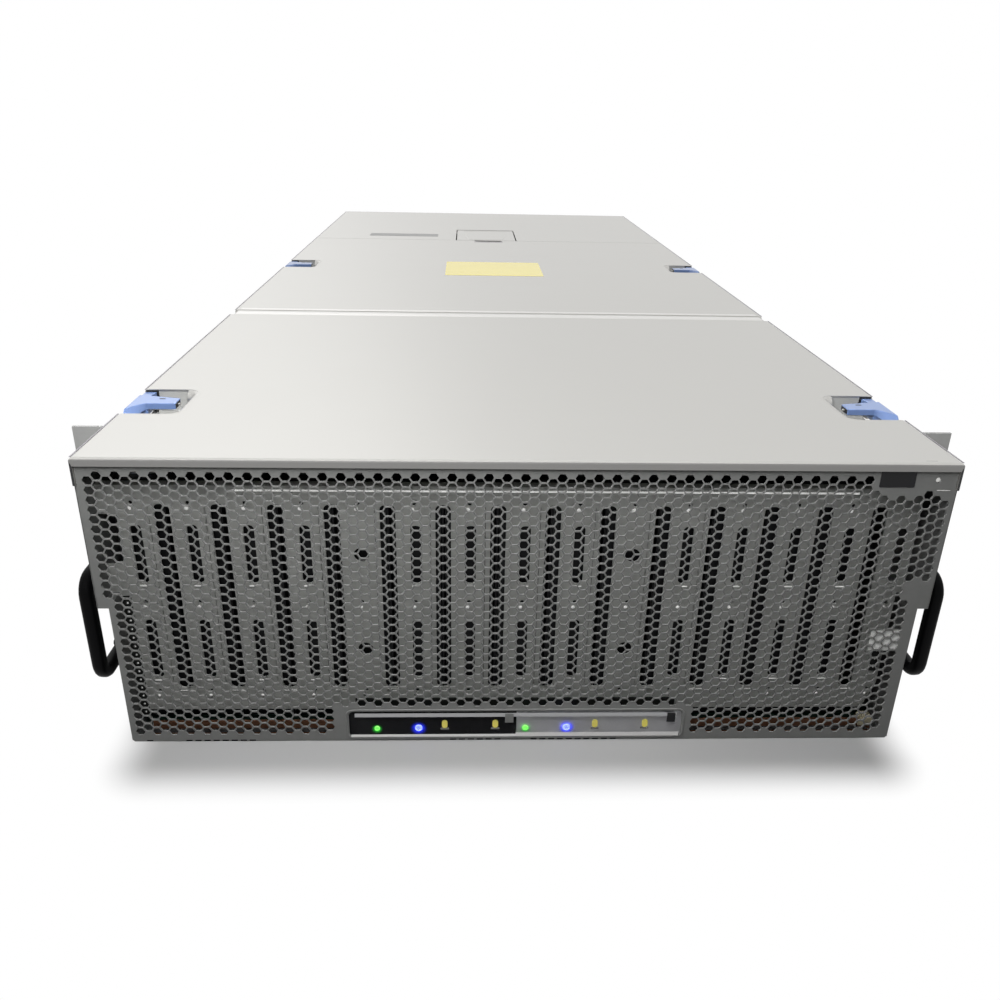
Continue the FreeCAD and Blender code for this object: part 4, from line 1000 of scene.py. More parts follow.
@dataclass
class IndicatorStrip:
    """The clear window, its printed halves and its lights."""

    pane: Span = (1.2, 3.4)
    corner: float = 3.0
    gap: float = 0.5
    insert: Span = (4.3, 5.3)
    insert_rise: Span = (1.2, 20.0)
    insert_limits: Span = (0.3, 95.8)
    board_front: float = 10.0
    lens_proud: float = 0.6
    second_set: float = 85.0
    halos: tuple[tuple[str, Point, float, float], ...] = (
        ("green", (-79.5, 6.4), 3.6, 1.5), ("blue", (-55.8, 6.6), 5.4, 2.1))
    ambers: tuple[Point, ...] = ((-40.9, 9.2), (-11.9, 9.3), (45.6, 9.2), (74.6, 9.3))
    amber_half: Point = (1.6, 2.6)
    lens_glint_half: float = 2.5
    lens_glint_rise: Span = (-1.5, -0.1)
    lens_glint_corner: float = 0.69
    print_thick: float = 0.05
    squares: tuple[Point, ...] = ((-4.1, 15.6), (88.7, 15.6))
    square_half: Point = (2.4, 3.1)
    square_thick: float = 0.35
    bars: tuple[tuple[str, Span, Span, Finish], ...] = (
        ("ridge", (-91.5, 91.9), (16.3, 18.9), RIDGE_HIGHLIGHT),
        ("ledge_left", (-94.0, -0.2), (2.45, 4.3), LEDGE_HIGHLIGHT),
        ("ledge_right", (-0.2, 94.0), (2.45, 5.3), LEDGE_HIGHLIGHT))
    bar_nose: tuple[Point, ...] = ((-0.35, 0.3), (-0.3, 0.7))
    halo_thick: float = 0.02
    strip_foot: float = 3.0

    def build(self) -> None:
        """Make the window and dress what is behind it."""
        x = about(0.0, WINDOW_HALF - self.gap)
        z = (WINDOW_RISE[0] + self.gap, WINDOW_RISE[1] - self.gap)
        sheet = Shape().prism(rounded(x, z, self.corner), self.pane, Axis.Y)
        glass = make_piece("indicator_pane", sheet, Trim(WINDOW_CLEAR))
        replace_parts(glass, "indicator_window")
        self.ledges()
        dress(BOARD_GREEN, "indicator_board")
        # painted shade: the board's top and front faces are darkened
        dress_faces("indicator_board", GASKET_AND_SHADE_DARK,
                    lambda face: face.normal.z > FACING or face.normal.y < -FACING)
        self.lights()
        self.light_cups()
        front = self.pane[0]
        across, tall = self.square_half
        for (x, z), finish in zip(self.squares, (GRILLE_GREY, LABEL_BLACK)):
            outline = rectangle(about(x, across), about(z, tall))
            square = Shape().prism(outline, (front - self.square_thick, front), Axis.Y)
            make_piece("indicator_square_" + finish.name, square, Trim(finish))
        self.glows()
        dress(COPPER, "grounding_strip")
        # painted shade: the strip's low upward faces are darkened to the shade that lies on them
        foot = self.strip_foot * MM
        dress_faces("grounding_strip", STRIP_SHADE_DARK,
                    lambda face: face.normal.z > FACING and face.center.z < foot)

    def lights(self) -> None:
        """Make the light pipes and the two printed plates that they come through."""
        pipes: dict[str, list[Loop]] = {}
        for name, (x, z), _, reach in self.halos:
            pipes[name] = [regular(x + shift, z, reach, 16) for shift in (0.0, self.second_set)]
        across, tall = self.amber_half
        pipes["amber"] = [rounded(about(x, across), about(z, tall), across - HAIR)
                          for x, z in self.ambers]
        span = (self.insert[0] - self.lens_proud, self.board_front)
        for name, finish in (("green", LED_GREEN), ("blue", LED_BLUE), ("amber", LED_AMBER)):
            group = Shape()
            for loop in pipes[name]:
                group.prism(loop, span, Axis.Y)
            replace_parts(make_piece("light_pipes_" + name, group, Trim(finish)), "leds_" + name)
        every = [loop for loops in pipes.values() for loop in loops]
        for side, finish in (("left", INSERT_AND_SHADE_BLACK), ("right", INSERT_SILVER)):
            low, high = sorted(SIDES[side] * limit for limit in self.insert_limits)
            holes = [loop for loop in every if low < loop[0][0] < high]
            plate = Shape().plate(rectangle((low, high), self.insert_rise), holes, self.insert, Axis.Y)
            made = make_piece("printed_plate_" + side, plate, Trim(finish))
            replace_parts(made, "indicator_insert_" + side)

    def light_cups(self) -> None:
        """Lay a painted highlight of the lens under each amber light."""
        depth = (self.insert[0] - self.print_thick, self.insert[0])
        for side, finish in (("left", GREY_LABEL_AND_HIGHLIGHT), ("right", RIVET_AND_HIGHLIGHT_BRIGHT)):
            glints = Shape()
            for x, z in self.ambers:
                if x * SIDES[side] > 0:
                    rise = shifted(self.lens_glint_rise, z - self.amber_half[1])
                    glints.prism(rounded(about(x, self.lens_glint_half), rise, self.lens_glint_corner), depth, Axis.Y)
            make_piece("light_cups_" + side, glints, Trim(finish))

    def ledges(self) -> None:
        """Make the strips along the top and the bottom of the window, whose pale colours are painted
        highlights of its edges.
        """
        front = self.pane[0]
        for name, x, (low, high), finish in self.bars:
            nose = [(front + depth, low + rise) for depth, rise in self.bar_nose]
            section = [(front, low), *nose, (front, high)]
            make_piece("indicator_" + name, Shape().prism(section, x, Axis.X), Trim(finish))

    def glows(self) -> None:
        """Lay a soft glow on the back of the window in front of each coloured light."""
        finishes = {"green": HALO_GREEN, "blue": HALO_BLUE}
        depth = (self.pane[1], self.pane[1] + self.halo_thick)
        for name, (x, z), reach, _ in self.halos:
            for number, shift in enumerate((0.0, self.second_set), 1):
                disc = Shape().prism(regular(x + shift, z, reach, 32), depth, Axis.Y)
                make_piece("halo_" + name + "_" + str(number), disc, Trim(finishes[name]))


@dataclass
class RackMounts:
    """The rack ears and their pull handles."""

    x: float = 233.4
    reach: Span = (13.8, 49.0)
    rise: Span = (35.3, 96.2)
    bend: float = 9.2
    half: float = 3.8
    inner: float = 225.5
    outer: Span = (239.0, 241.3)
    ear_rise: tuple[float, ...] = (4.0, 10.0, 84.0, 86.0, 88.3, 172.0)
    ear_thick: float = 2.0
    foot_long: float = 46.0
    slot_middle: Point = (232.55, 86.5)
    slot_spread: float = 66.675
    slot_half: Point = (5.15, 3.4)
    bar_corner: float = 3.0
    bend_steps: int = 6
    collar: tuple[Point, ...] = ((6.0, 0.0), (6.0, -1.2), (5.2, -2.0))

    def middle_line(self) -> list[Place]:
        """Return the bent middle line of the right handle."""
        front, back = self.reach
        low, high = self.rise
        path = [(self.x, back, low)]
        for middle, start in ((low + self.bend, -math.pi / 2), (high - self.bend, -math.pi)):
            for step in range(self.bend_steps + 1):
                angle = start - math.pi / 2 * step / self.bend_steps
                y = front + self.bend + self.bend * math.cos(angle)
                path.append((self.x, y, middle + self.bend * math.sin(angle)))
        return path + [(self.x, back, high)]

    def build(self) -> None:
        """Make the handles and the ears."""
        square = about(0.0, self.half)
        section = rounded(square, square, self.bar_corner, 4)
        bar = Shape().swept(self.middle_line(), section, (1.0, 0.0, 0.0))
        collar = [(reach, self.reach[1] + depth) for reach, depth in self.collar]
        for rise in self.rise:
            bar.turned(collar, (self.x, rise), Axis.Y, 20)
        for side, shape in bar.pair().items():
            grip = make_piece("handle_grip_" + side, shape, Trim(HANDLE_BLACK))
            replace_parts(grip, "handle_" + side)
        for side, shape in self.ear().pair().items():
            plate = make_piece("ear_plate_" + side, shape, Trim(EAR_GREY, bevel=0.3))
            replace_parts(plate, "rack_ear_" + side)

    def ear(self) -> Shape:
        """Return the right ear, a slotted plate that is narrower beside the handle, on its foot."""
        bottom, foot_low, foot_high, narrow, wide, top = self.ear_rise
        near, far = self.outer
        outline = [(WALL, foot_low), (self.inner, foot_low), (self.inner, bottom), (near, bottom)]
        outline += [(near, narrow), (far, wide), (far, top), (self.inner, top)]
        outline += [(self.inner, foot_high), (WALL, foot_high)]
        x, middle = self.slot_middle
        across, tall = self.slot_half
        slots = [rounded(about(x, across), about(rise, tall), tall - HAIR)
                 for rise in about(middle, self.slot_spread)]
        front = self.reach[1]
        ear = Shape().plate(outline, slots, (front, front + self.ear_thick), Axis.Y)
        foot = (front + self.ear_thick, front + self.foot_long)
        return ear.block((WALL, WALL + self.ear_thick), foot, (foot_low, foot_high))


@dataclass
class Covers:
    """The three covers with their seams, labels and latch pockets."""

    top: float = 173.0
    width: float = 447.0
    pocket_inner: float = 190.0
    pocket_long: float = 46.0
    pocket_radius: float = 7.0
    fold_top: float = 167.0
    lip_depth: float = 2.0
    lip_facing: float = 0.85
    liner: tuple[Span, Span] = ((206.5, 220.0), (158.1, 158.9))
    pan_floor: Point = (212.8, 160.0)
    rib: tuple[Span, Span] = ((195.0, 207.5), (161.2, 168.4))
    beads: tuple[tuple[str, float, float, str], ...] = (
        ("seam_bead", 333.0, 6.6, "chassis"), ("mid_cover_bead", 347.2, 3.9, "mid_cover"))
    bead_profile: tuple[Point, ...] = ((-1.0, -0.4), (-0.7, 0.05), (0.0, 0.2), (0.7, 0.05), (1.0, -0.4))
    bead_half: float = 219.0
    plain_labels: tuple[tuple[str, Span, Span, Finish, str], ...] = (
        ("label_yellow_plate", (-52.0, 50.0), (522.0, 608.0), LABEL_YELLOW, "mid_cover"),
        ("grey_label_strip", (-158.0, -68.0), (812.0, 836.0), GREY_LABEL_AND_HIGHLIGHT, "rear_cover"))
    label_corner: float = 2.0
    label_thick: float = 0.12
    edge_wide: float = 0.65
    edge_rise: Span = (-0.3, 0.03)
    edge_spans: tuple[tuple[str, tuple[Span, ...]], ...] = (
        ("front", ((1.5, 68.0), (114.0, 324.8))), ("mid", ((343.2, 558.0), (604.0, 780.4))),
        ("rear", ((781.6, 1089.8),)))
    back_edge: Span = (1089.0, 1089.9)
    back_inset: float = 1.0
    scoop: tuple[Box, ...] = (
        ((-21.5, 17.5), (769.8, 780.4), (-2.1, -1.3)), ((-20.0, 16.0), (764.0, 770.5), (-0.2, 0.03)))
    corner_slot: Box = ((204.7, 210.6), (3.1, 3.7), (-0.1, 0.04))
    paddle: tuple[Point, ...] = ((-34.0, 872.0), (25.0, 872.0), (17.0, 792.0), (-26.0, 792.0))
    paddle_sink: float = 0.25
    paddle_section: tuple[Point, ...] = ((-0.1, -0.9), (0.3, -0.5), (0.3, 0.5), (-0.1, 0.9))
    rim_outer: float = 221.0
    rim_section: tuple[Point, ...] = ((-0.5, 0.0), (0.14, 0.1), (0.14, 0.9), (-0.02, 1.5))
    slope_section: tuple[Point, ...] = (
        (0.02, 0.2), (-0.5, -1.2), (-1.9, -2.6), (-5.0, -3.8), (-8.0, -4.2), (-8.0, 0.0))
    corner_steps: int = 6
    rib_along: Span = (19.8, 20.8)
    pocket_back: tuple[Span, Span] = ((215.2, 222.8), (163.0, 172.6))
    pocket_back_thick: float = 0.3

    def build(self) -> None:
        """Dress the covers and add what is fixed to them."""
        dress(COVER_STEEL, "front_cover", "mid_cover", "rear_cover", "cover_crossbar", "rear_cover_latch")
        # painted light: the pans get the lighter copy of the cover steel
        dress(PAN_LIT_STEEL, "front_cover_pans", "mid_cover_pans")
        self.darken_folds()
        self.labels()
        self.seam()
        self.side_edges()
        self.paddle_lines()
        for place, start in POCKET_STARTS.items():
            self.pocket_edges(place, start)
            self.pocket_liners(place, start)

    def darken_folds(self) -> None:
        """Paint shade on the front cover's lip, and painted shadow on the cut front ends of its side
        flanges.
        """
        front = FRONT_LIP + self.lip_depth * MM
        low = self.fold_top * MM
        dress_faces("front_cover", LIP_SHADE_STEEL,
                    lambda face: face.normal.y < -self.lip_facing and face.center.y < front)
        dress_faces("front_cover", FOLD_DARK,
                    lambda face: face.normal.y < -FACING and face.center.y < front
                    and face.center.z < low)

    def labels(self) -> None:
        """Lay the thin bare labels."""
        for name, x, y, finish, body in self.plain_labels:
            outline = rounded(x, y, self.label_corner)
            shape = Shape().prism(outline, (self.top, self.top + self.label_thick), Axis.Z)
            make_piece(name, shape, Trim(finish, body))

    def seam(self) -> None:
        """Make the raised beads of the cross beam and of the mid cover's front edge, in a lighter steel
        that is a painted highlight.
        """
        for name, y, half, body in self.beads:
            section = [(y + half * across, self.top + high) for across, high in self.bead_profile]
            bead = Shape().prism(section, about(0.0, self.bead_half), Axis.X)
            make_piece(name, bead, Trim(SEAM_HIGHLIGHT_STEEL, body))

    def side_edges(self) -> None:
        """Make the painted shade along the covers' bent edges, at the rear edge and in the finger scoop,
        and the slot at one corner.
        """
        half = self.width / 2
        rise = shifted(self.edge_rise, self.top)
        for place, lengths in self.edge_spans:
            edge = Shape()
            for span in lengths:
                edge.block((half - self.edge_wide, half), span, rise)
            self.both_sides(place, "cover_edge", edge, EDGE_SHADE_GREY)
        back = Shape().block(about(0.0, half - self.back_inset), self.back_edge, rise)
        make_piece("rear_cover_back_edge", back, Trim(EDGE_SHADE_GREY, "rear_cover"))
        scoop = Shape()
        for x, y, z in self.scoop:
            scoop.block(x, y, shifted(z, self.top))
        make_piece("scoop_painted_shade", scoop, Trim(EDGE_SHADE_GREY, "mid_cover"))
        x, y, z = self.corner_slot
        slot = Shape().block(x, y, shifted(z, self.top))
        make_piece("cover_corner_slot", slot, Trim(GREY_LABEL_AND_HIGHLIGHT, "front_cover"))

    def paddle_lines(self) -> None:
        """Make the pressed trapezoid on the paddle latch."""
        path = [(x, y, self.top - self.paddle_sink) for x, y in self.paddle]
        line = Shape().swept(path, self.paddle_section, UPWARD, closed=True)
        make_piece("paddle_pressing", line, Trim(COVER_STEEL, "rear_cover_latch"))

    def pocket_edges(self, place: str, start: float) -> None:
        """Make the bright eased rim and the drawn slope of each latch pocket of a cover.

        Args:
            place: Which cover.
            start: Front edge of its pockets.
        """
        inner = self.inner_end(start)
        ends = [(self.rim_outer, y, self.top) for y in (start, start + self.pocket_long)]
        rim = Shape().swept([ends[0], *inner, ends[1]], self.rim_section, UPWARD)
        self.both_sides(place, "pocket_rim", rim, COVER_STEEL)
        slope = Shape().swept(inner, self.slope_section, UPWARD)
        self.both_sides(place, "pocket_slope", slope, COVER_STEEL)

    def inner_end(self, start: float) -> list[Place]:
        """Return the round inner end of a right pocket's edge, from its front corner to its rear one."""
        radius = self.pocket_radius
        middle = self.pocket_inner + radius
        path = []
        for y, first in ((start + radius, 1.5), (start + self.pocket_long - radius, 1.0)):
            for step in range(self.corner_steps + 1):
                angle = math.pi * (first - step / (2 * self.corner_steps))
                path.append((middle + radius * math.cos(angle), y + radius * math.sin(angle), self.top))
        return path

    def both_sides(self, place: str, name: str, shape: Shape, finish: Finish) -> None:
        """Make a piece and its mirror image on a cover.

        Args:
            place: Which cover.
            name: Name of the piece.
            shape: The right one.
            finish: Its finish.
        """
        for side, made in shape.pair().items():
            make_piece("_".join((place, name, side)), made, Trim(finish, place + "_cover"))

    def pocket_liners(self, place: str, start: float) -> None:
        """Make the sheet and the rib that join a pocket's pan under the latch, and a dark plate on its
        back wall that is painted shadow.

        Args:
            place: Which cover.
            start: Front edge of its pockets.
        """
        long = (start, start + self.pocket_long)
        x, z = self.liner
        liner = Shape().block(x, long, z)
        liner.block((x[0], self.pan_floor[0]), long, (z[1], self.pan_floor[1]))
        liner.block(self.rib[0], shifted(self.rib_along, start), self.rib[1])
        self.both_sides(place, "pocket_liner", liner, PAN_LIT_STEEL)
        x, z = self.pocket_back
        back = Shape().block(x, (long[1] - self.pocket_back_thick, long[1]), z)
        self.both_sides(place, "pocket_back", back, FOLD_DARK)


@dataclass
class Latches:
    """The blue cover latches, each a lever with a sloping outer end on a round barrel."""

    top: float = 172.7
    tip: float = 197.7
    outer: float = 223.3
    arm_bottom: float = 169.0
    arm_front: float = 19.8
    rear: Span = (30.4, 36.2)
    barrel: tuple[float, float, float] = (217.2, 167.0, 3.4)
    toe: Point = (1.4, 166.0)
    flare: Span = (213.6, 221.6)
    corner: Point = (213.6, 9.4)
    tab: tuple[Point, ...] = ((218.2, 33.0), (223.2, 33.0), (223.2, 45.4), (216.2, 45.4))
    tab_rise: Span = (163.4, 171.6)
    steps: int = 16
    corner_curve: float = 1.5
    toe_overlap: float = 0.1
    barrel_end: float = 33.0
    hook: Box = ((-1.2, 0.6), (-0.8, 1.4), (170.0, 171.2))
    tip_face: Box = ((-0.06, 0.3), (-4.4, 4.4), (169.4, 172.1))
    dent: tuple[Span, Span] = ((205.7, 209.4), (28.0, 29.6))
    dent_corner: float = 0.79
    dent_proud: float = 0.05

    def section(self, x: float, start: float) -> list[Place]:
        """Return the lever's section at a place across the server.

        Args:
            x: Where the section is.
            start: Front edge of the pocket.

        Returns:
            Its corners: rear bottom, rear top, front top and front bottom.
        """
        share = (x - self.tip) / (self.outer - self.tip)
        rear = self.rear[0] + share * (self.rear[1] - self.rear[0])
        flare = min(1.0, max(0.0, (x - self.flare[0]) / (self.flare[1] - self.flare[0])))
        drop = flare * flare * (3 - 2 * flare)
        front = self.arm_front
        if x > self.corner[0]:
            along = (x - self.corner[0]) / (self.outer - self.corner[0])
            front -= (front - self.corner[1]) * along ** self.corner_curve
        bottom = self.arm_bottom + drop * (self.toe[1] - self.arm_bottom)
        toe = self.arm_front + drop * (self.toe[0] - self.arm_front)
        toe -= self.toe_overlap
        corners = ((rear, bottom), (rear, self.top), (front, self.top), (toe, bottom))
        return [(x, start + y, z) for y, z in corners]

    def build(self) -> None:
        """Make the latches with their metal tips and dents."""
        places = [self.tip, *(self.flare[0] + step * (self.outer - self.flare[0]) / self.steps
                              for step in range(self.steps + 1))]
        x, z, radius = self.barrel
        for place, start in POCKET_STARTS.items():
            lever = Shape().skin([self.section(spot, start) for spot in places])
            pin = [(radius, start + self.arm_front), (radius, start + self.barrel_end)]
            lever.turned(pin, (x, z), Axis.Y, 24)
            lever.prism([(u, start + v) for u, v in self.tab], self.tab_rise, Axis.Z)
            middle = start + (self.arm_front + self.rear[0]) / 2
            hook, dark = (Shape().block(shifted(across, self.tip), shifted(along, middle), rise)
                          for across, along, rise in (self.hook, self.tip_face))
            across, along = self.dent
            spot = rounded(across, shifted(along, start), self.dent_corner)
            dark.prism(spot, (self.top, self.top + self.dent_proud), Axis.Z)
            levers, hooks, darks = (part.pair() for part in (lever, hook, dark))
            for side in SIDES:
                name = place + "_latch_" + side
                made = make_piece(name + "_lever", levers[side], Trim(LATCH_BLUE, name, 0.5, 3))
                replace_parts(made, name)
                make_piece(name + "_tip", hooks[side], Trim(SCREW_METAL, name, 0.4))
                make_piece(name + "_dent", darks[side], Trim(BUTTON_BLACK, name))


@dataclass
class Inside:
    """What the covers close in: drives, fans and boards."""

    pitch: float = 29.15
    first: float = -202.0
    columns: int = 14
    row_pitch: float = 106.5
    first_row: float = 22.0
    drive_top: float = 150.2
    frame_thick: float = 2.4
    frame: tuple[float, Span] = (12.6, (1.0, 100.0))
    frame_hole: tuple[float, Span, float] = (8.0, (8.0, 60.0), 2.0)
    lever: tuple[float, Span, float] = (6.0, (66.0, 90.0), 2.5)
    lever_thick: float = 2.6
    cap_half: float = 13.0
    cap_thick: float = 0.8
    cap_bottom: float = 3.4
    fans: int = 4
    front_rows: range = range(3)
    rear_rows: range = range(3, 6)

    def carriers(self, name: str, rows: range) -> None:
        """Make the drives' top frames and release levers.

        Args:
            name: Piece name.
            rows: Drive rows it covers.
        """
        frames = Shape()
        levers = Shape()
        frame_top = self.drive_top + self.frame_thick
        for line in rows:
            y = self.first_row + self.row_pitch * line
            for column in range(self.columns):
                x = self.first + self.pitch * column
                outline = rectangle(about(x, self.frame[0]), shifted(self.frame[1], y))
                half, along, corner = self.frame_hole
                hole = rounded(about(x, half), shifted(along, y), corner)
                frames.plate(outline, [hole], (self.drive_top, frame_top), Axis.Z)
                half, along, corner = self.lever
                grip = rounded(about(x, half), shifted(along, y), corner, 3)
                levers.prism(grip, (frame_top, frame_top + self.lever_thick), Axis.Z)
        make_piece(name + "_frames", frames, Trim(FAN_BLACK))
        make_piece(name + "_levers", levers, Trim(LATCH_BLUE))

    def build(self) -> None:
        """Dress the inner solids and add the drive tops."""
        dress(DRIVE_METAL, "drives_front", "drives_rear")
        # painted shade: the backplanes are darkened
        dress(BACKPLANE_SHADE_GREEN, "backplane_front", "backplane_rear")
        dress(BOARD_GREEN, "midplane_board")
        dress(CHASSIS_STEEL, "fan_wall")
        dress(FAN_BLACK, "fan_frames", bevel=1.0)
        rotors = ["fan_rotor_" + str(number) for number in range(1, self.fans + 1)]
        dress(FAN_BLACK, "drive_dividers", *rotors)
        caps = Shape()
        depth = (self.first_row - self.cap_thick, self.first_row)
        for column in range(self.columns):
            x = self.first + self.pitch * column
            caps.block(about(x, self.cap_half), depth, (self.cap_bottom, self.drive_top))
        make_piece("front_drive_caps", caps, Trim(FAN_BLACK, bevel=0.3))
        self.carriers("front_drive", self.front_rows)
        self.carriers("rear_drive", self.rear_rows)


@dataclass
class Rear:
    """The chassis walls, the server sleds and the power supplies."""

    face: float = 1070.0
    sled_floors: tuple[float, ...] = (104.5, 44.0)
    supply_edges: tuple[float, ...] = (-212.0, 126.0)
    supply_low: float = 1.5
    board_top: float = 7.8
    chip_places: tuple[float, ...] = (-150.0, -60.0, 20.0, 120.0, 180.0)
    chips: tuple[Box, ...] = (
        ((0.0, 16.0), (1000.0, 1016.0), (0.0, 1.6)), ((22.0, 30.0), (1022.0, 1034.0), (0.0, 2.4)))
    plug_places: tuple[float, ...] = (-170.0, -60.0, 60.0, 170.0)
    plug: Box = ((-22.0, 22.0), (796.0, 812.0), (0.0, 14.0))
    guard_middle: Point = (21.0, 20.0)
    guard_rings: tuple[float, ...] = (4.0, 8.0, 12.0, 15.6)
    guard_wire: float = 0.5
    guard_depth: float = 0.4
    spoke_turns: Span = (45.0, 135.0)
    spoke_reach: float = 16.0
    spoke_wire: float = 0.55
    spoke_depth: float = 0.9
    pin_places: tuple[Point, ...] = ((59.0, 16.0), (65.5, 22.0), (72.0, 16.0))
    pin: Box = ((-1.0, 1.0), (-16.0, -2.0), (-2.2, 2.2))
    shroud: tuple[Span, Span] = ((50.5, 80.5), (8.0, 31.0))
    shroud_hole: tuple[Span, Span, float] = ((52.6, 78.4), (10.1, 28.9), 3.5)
    shroud_proud: float = 1.2
    screw_rises: Span = (20.0, 70.0)
    screw_places: tuple[float, ...] = (130.0, 330.0, 530.0, 730.0, 930.0, 1060.0)
    screw_head: tuple[Point, ...] = ((3.2, 0.0), (3.2, 0.9), (2.2, 1.7))

    def build(self) -> None:
        """Dress the rear and the walls."""
        walls = ["side_wall_" + side for side in SIDES]
        dress(CHASSIS_STEEL, "chassis_floor", *walls, "sled_shelves", "rear_vent_panel")
        # painted shade: the side walls' inner faces are darkened
        for wall, sign in zip(walls, SIDES.values()):
            dress_faces(wall, WALL_SHADE_GREY, lambda face: face.normal.x * sign < -FACING)
        for number, floor in enumerate(self.sled_floors, 1):
            self.sled("sled_" + str(number), floor)
        for number, left in enumerate(self.supply_edges, 1):
            self.supply("psu_" + str(number), left)
        self.wall_screws()

    def sled(self, name: str, floor: float) -> None:
        """Dress a sled and add the parts on its board.

        Args:
            name: Body name.
            floor: Height of its tray.
        """
        parts = {"tray": CHASSIS_STEEL, "board": BOARD_GREEN, "heatsinks": SINK_METAL}
        parts.update({"memory": MEMORY_BLACK, "lever": LATCH_BLUE, "button": BUTTON_BLACK})
        for part, finish in parts.items():
            dress(finish, name + "_" + part, bevel=0.5 if part in ("lever", "button") else 0.0)
        low = floor + self.board_top
        chips = Shape()
        for place in self.chip_places:
            for x, y, z in self.chips:
                chips.block(shifted(x, place), y, shifted(z, low))
        make_piece(name + "_chips", chips, Trim(CONNECTOR_BLACK, name, 0.3))
        plugs = Shape()
        x, y, z = self.plug
        for place in self.plug_places:
            plugs.block(shifted(x, place), y, shifted(z, low))
        make_piece(name + "_plugs", plugs, Trim(CONNECTOR_CREAM, name, 0.6))

    def supply(self, name: str, left: float) -> None:
        """Dress a power supply and add its fan guard, inlet pins and shroud.

        Args:
            name: Body name.
            left: Its left edge.
        """
        dress(PSU_METAL, name + "_case")
        dress(HANDLE_BLACK, name + "_handle", bevel=0.8)
        dress(LATCH_BLUE, name + "_latch", bevel=0.4)
        low = self.supply_low
        middle = (left + self.guard_middle[0], low + self.guard_middle[1])
        guard = Shape()
        for radius in self.guard_rings:
            ring = regular(radius, self.face - self.guard_depth, self.guard_wire, 6)
            guard.turned(ring, middle, Axis.Y, 28, closed=True)
        for angle in self.spoke_turns:
            turn = math.radians(angle)
            across, up = self.spoke_reach * math.cos(turn), self.spoke_reach * math.sin(turn)
            ends = [(middle[0] + sign * across, self.face - self.spoke_depth, middle[1] + sign * up)
                    for sign in (-1, 1)]
            guard.swept(ends, regular(0.0, 0.0, self.spoke_wire, 6), (0.0, 1.0, 0.0))
        make_piece(name + "_guard", guard, Trim(SCREW_METAL, name))
        pins = Shape()
        across, along, tall = self.pin
        for x, z in self.pin_places:
            pins.block(shifted(across, left + x), shifted(along, self.face), shifted(tall, low + z))
        make_piece(name + "_pins", pins, Trim(SCREW_METAL, name, 0.3))
        x, z = self.shroud
        outline = rectangle(shifted(x, left), shifted(z, low))
        x, z, corner = self.shroud_hole
        hole = rounded(shifted(x, left), shifted(z, low), corner)
        shroud = Shape().plate(outline, [hole], (self.face, self.face + self.shroud_proud), Axis.Y)
        make_piece(name + "_shroud", shroud, Trim(CONNECTOR_BLACK, name, 0.3))

    def wall_screws(self) -> None:
        """Make the screw heads along the walls."""
        screws = Shape()
        for sign in SIDES.values():
            head = [(reach, sign * (WALL + depth)) for reach, depth in self.screw_head]
            for rise in self.screw_rises:
                for y in self.screw_places:
                    screws.turned(head, (y, rise), Axis.X, 16)
        make_piece("wall_screws", screws, Trim(SCREW_METAL))


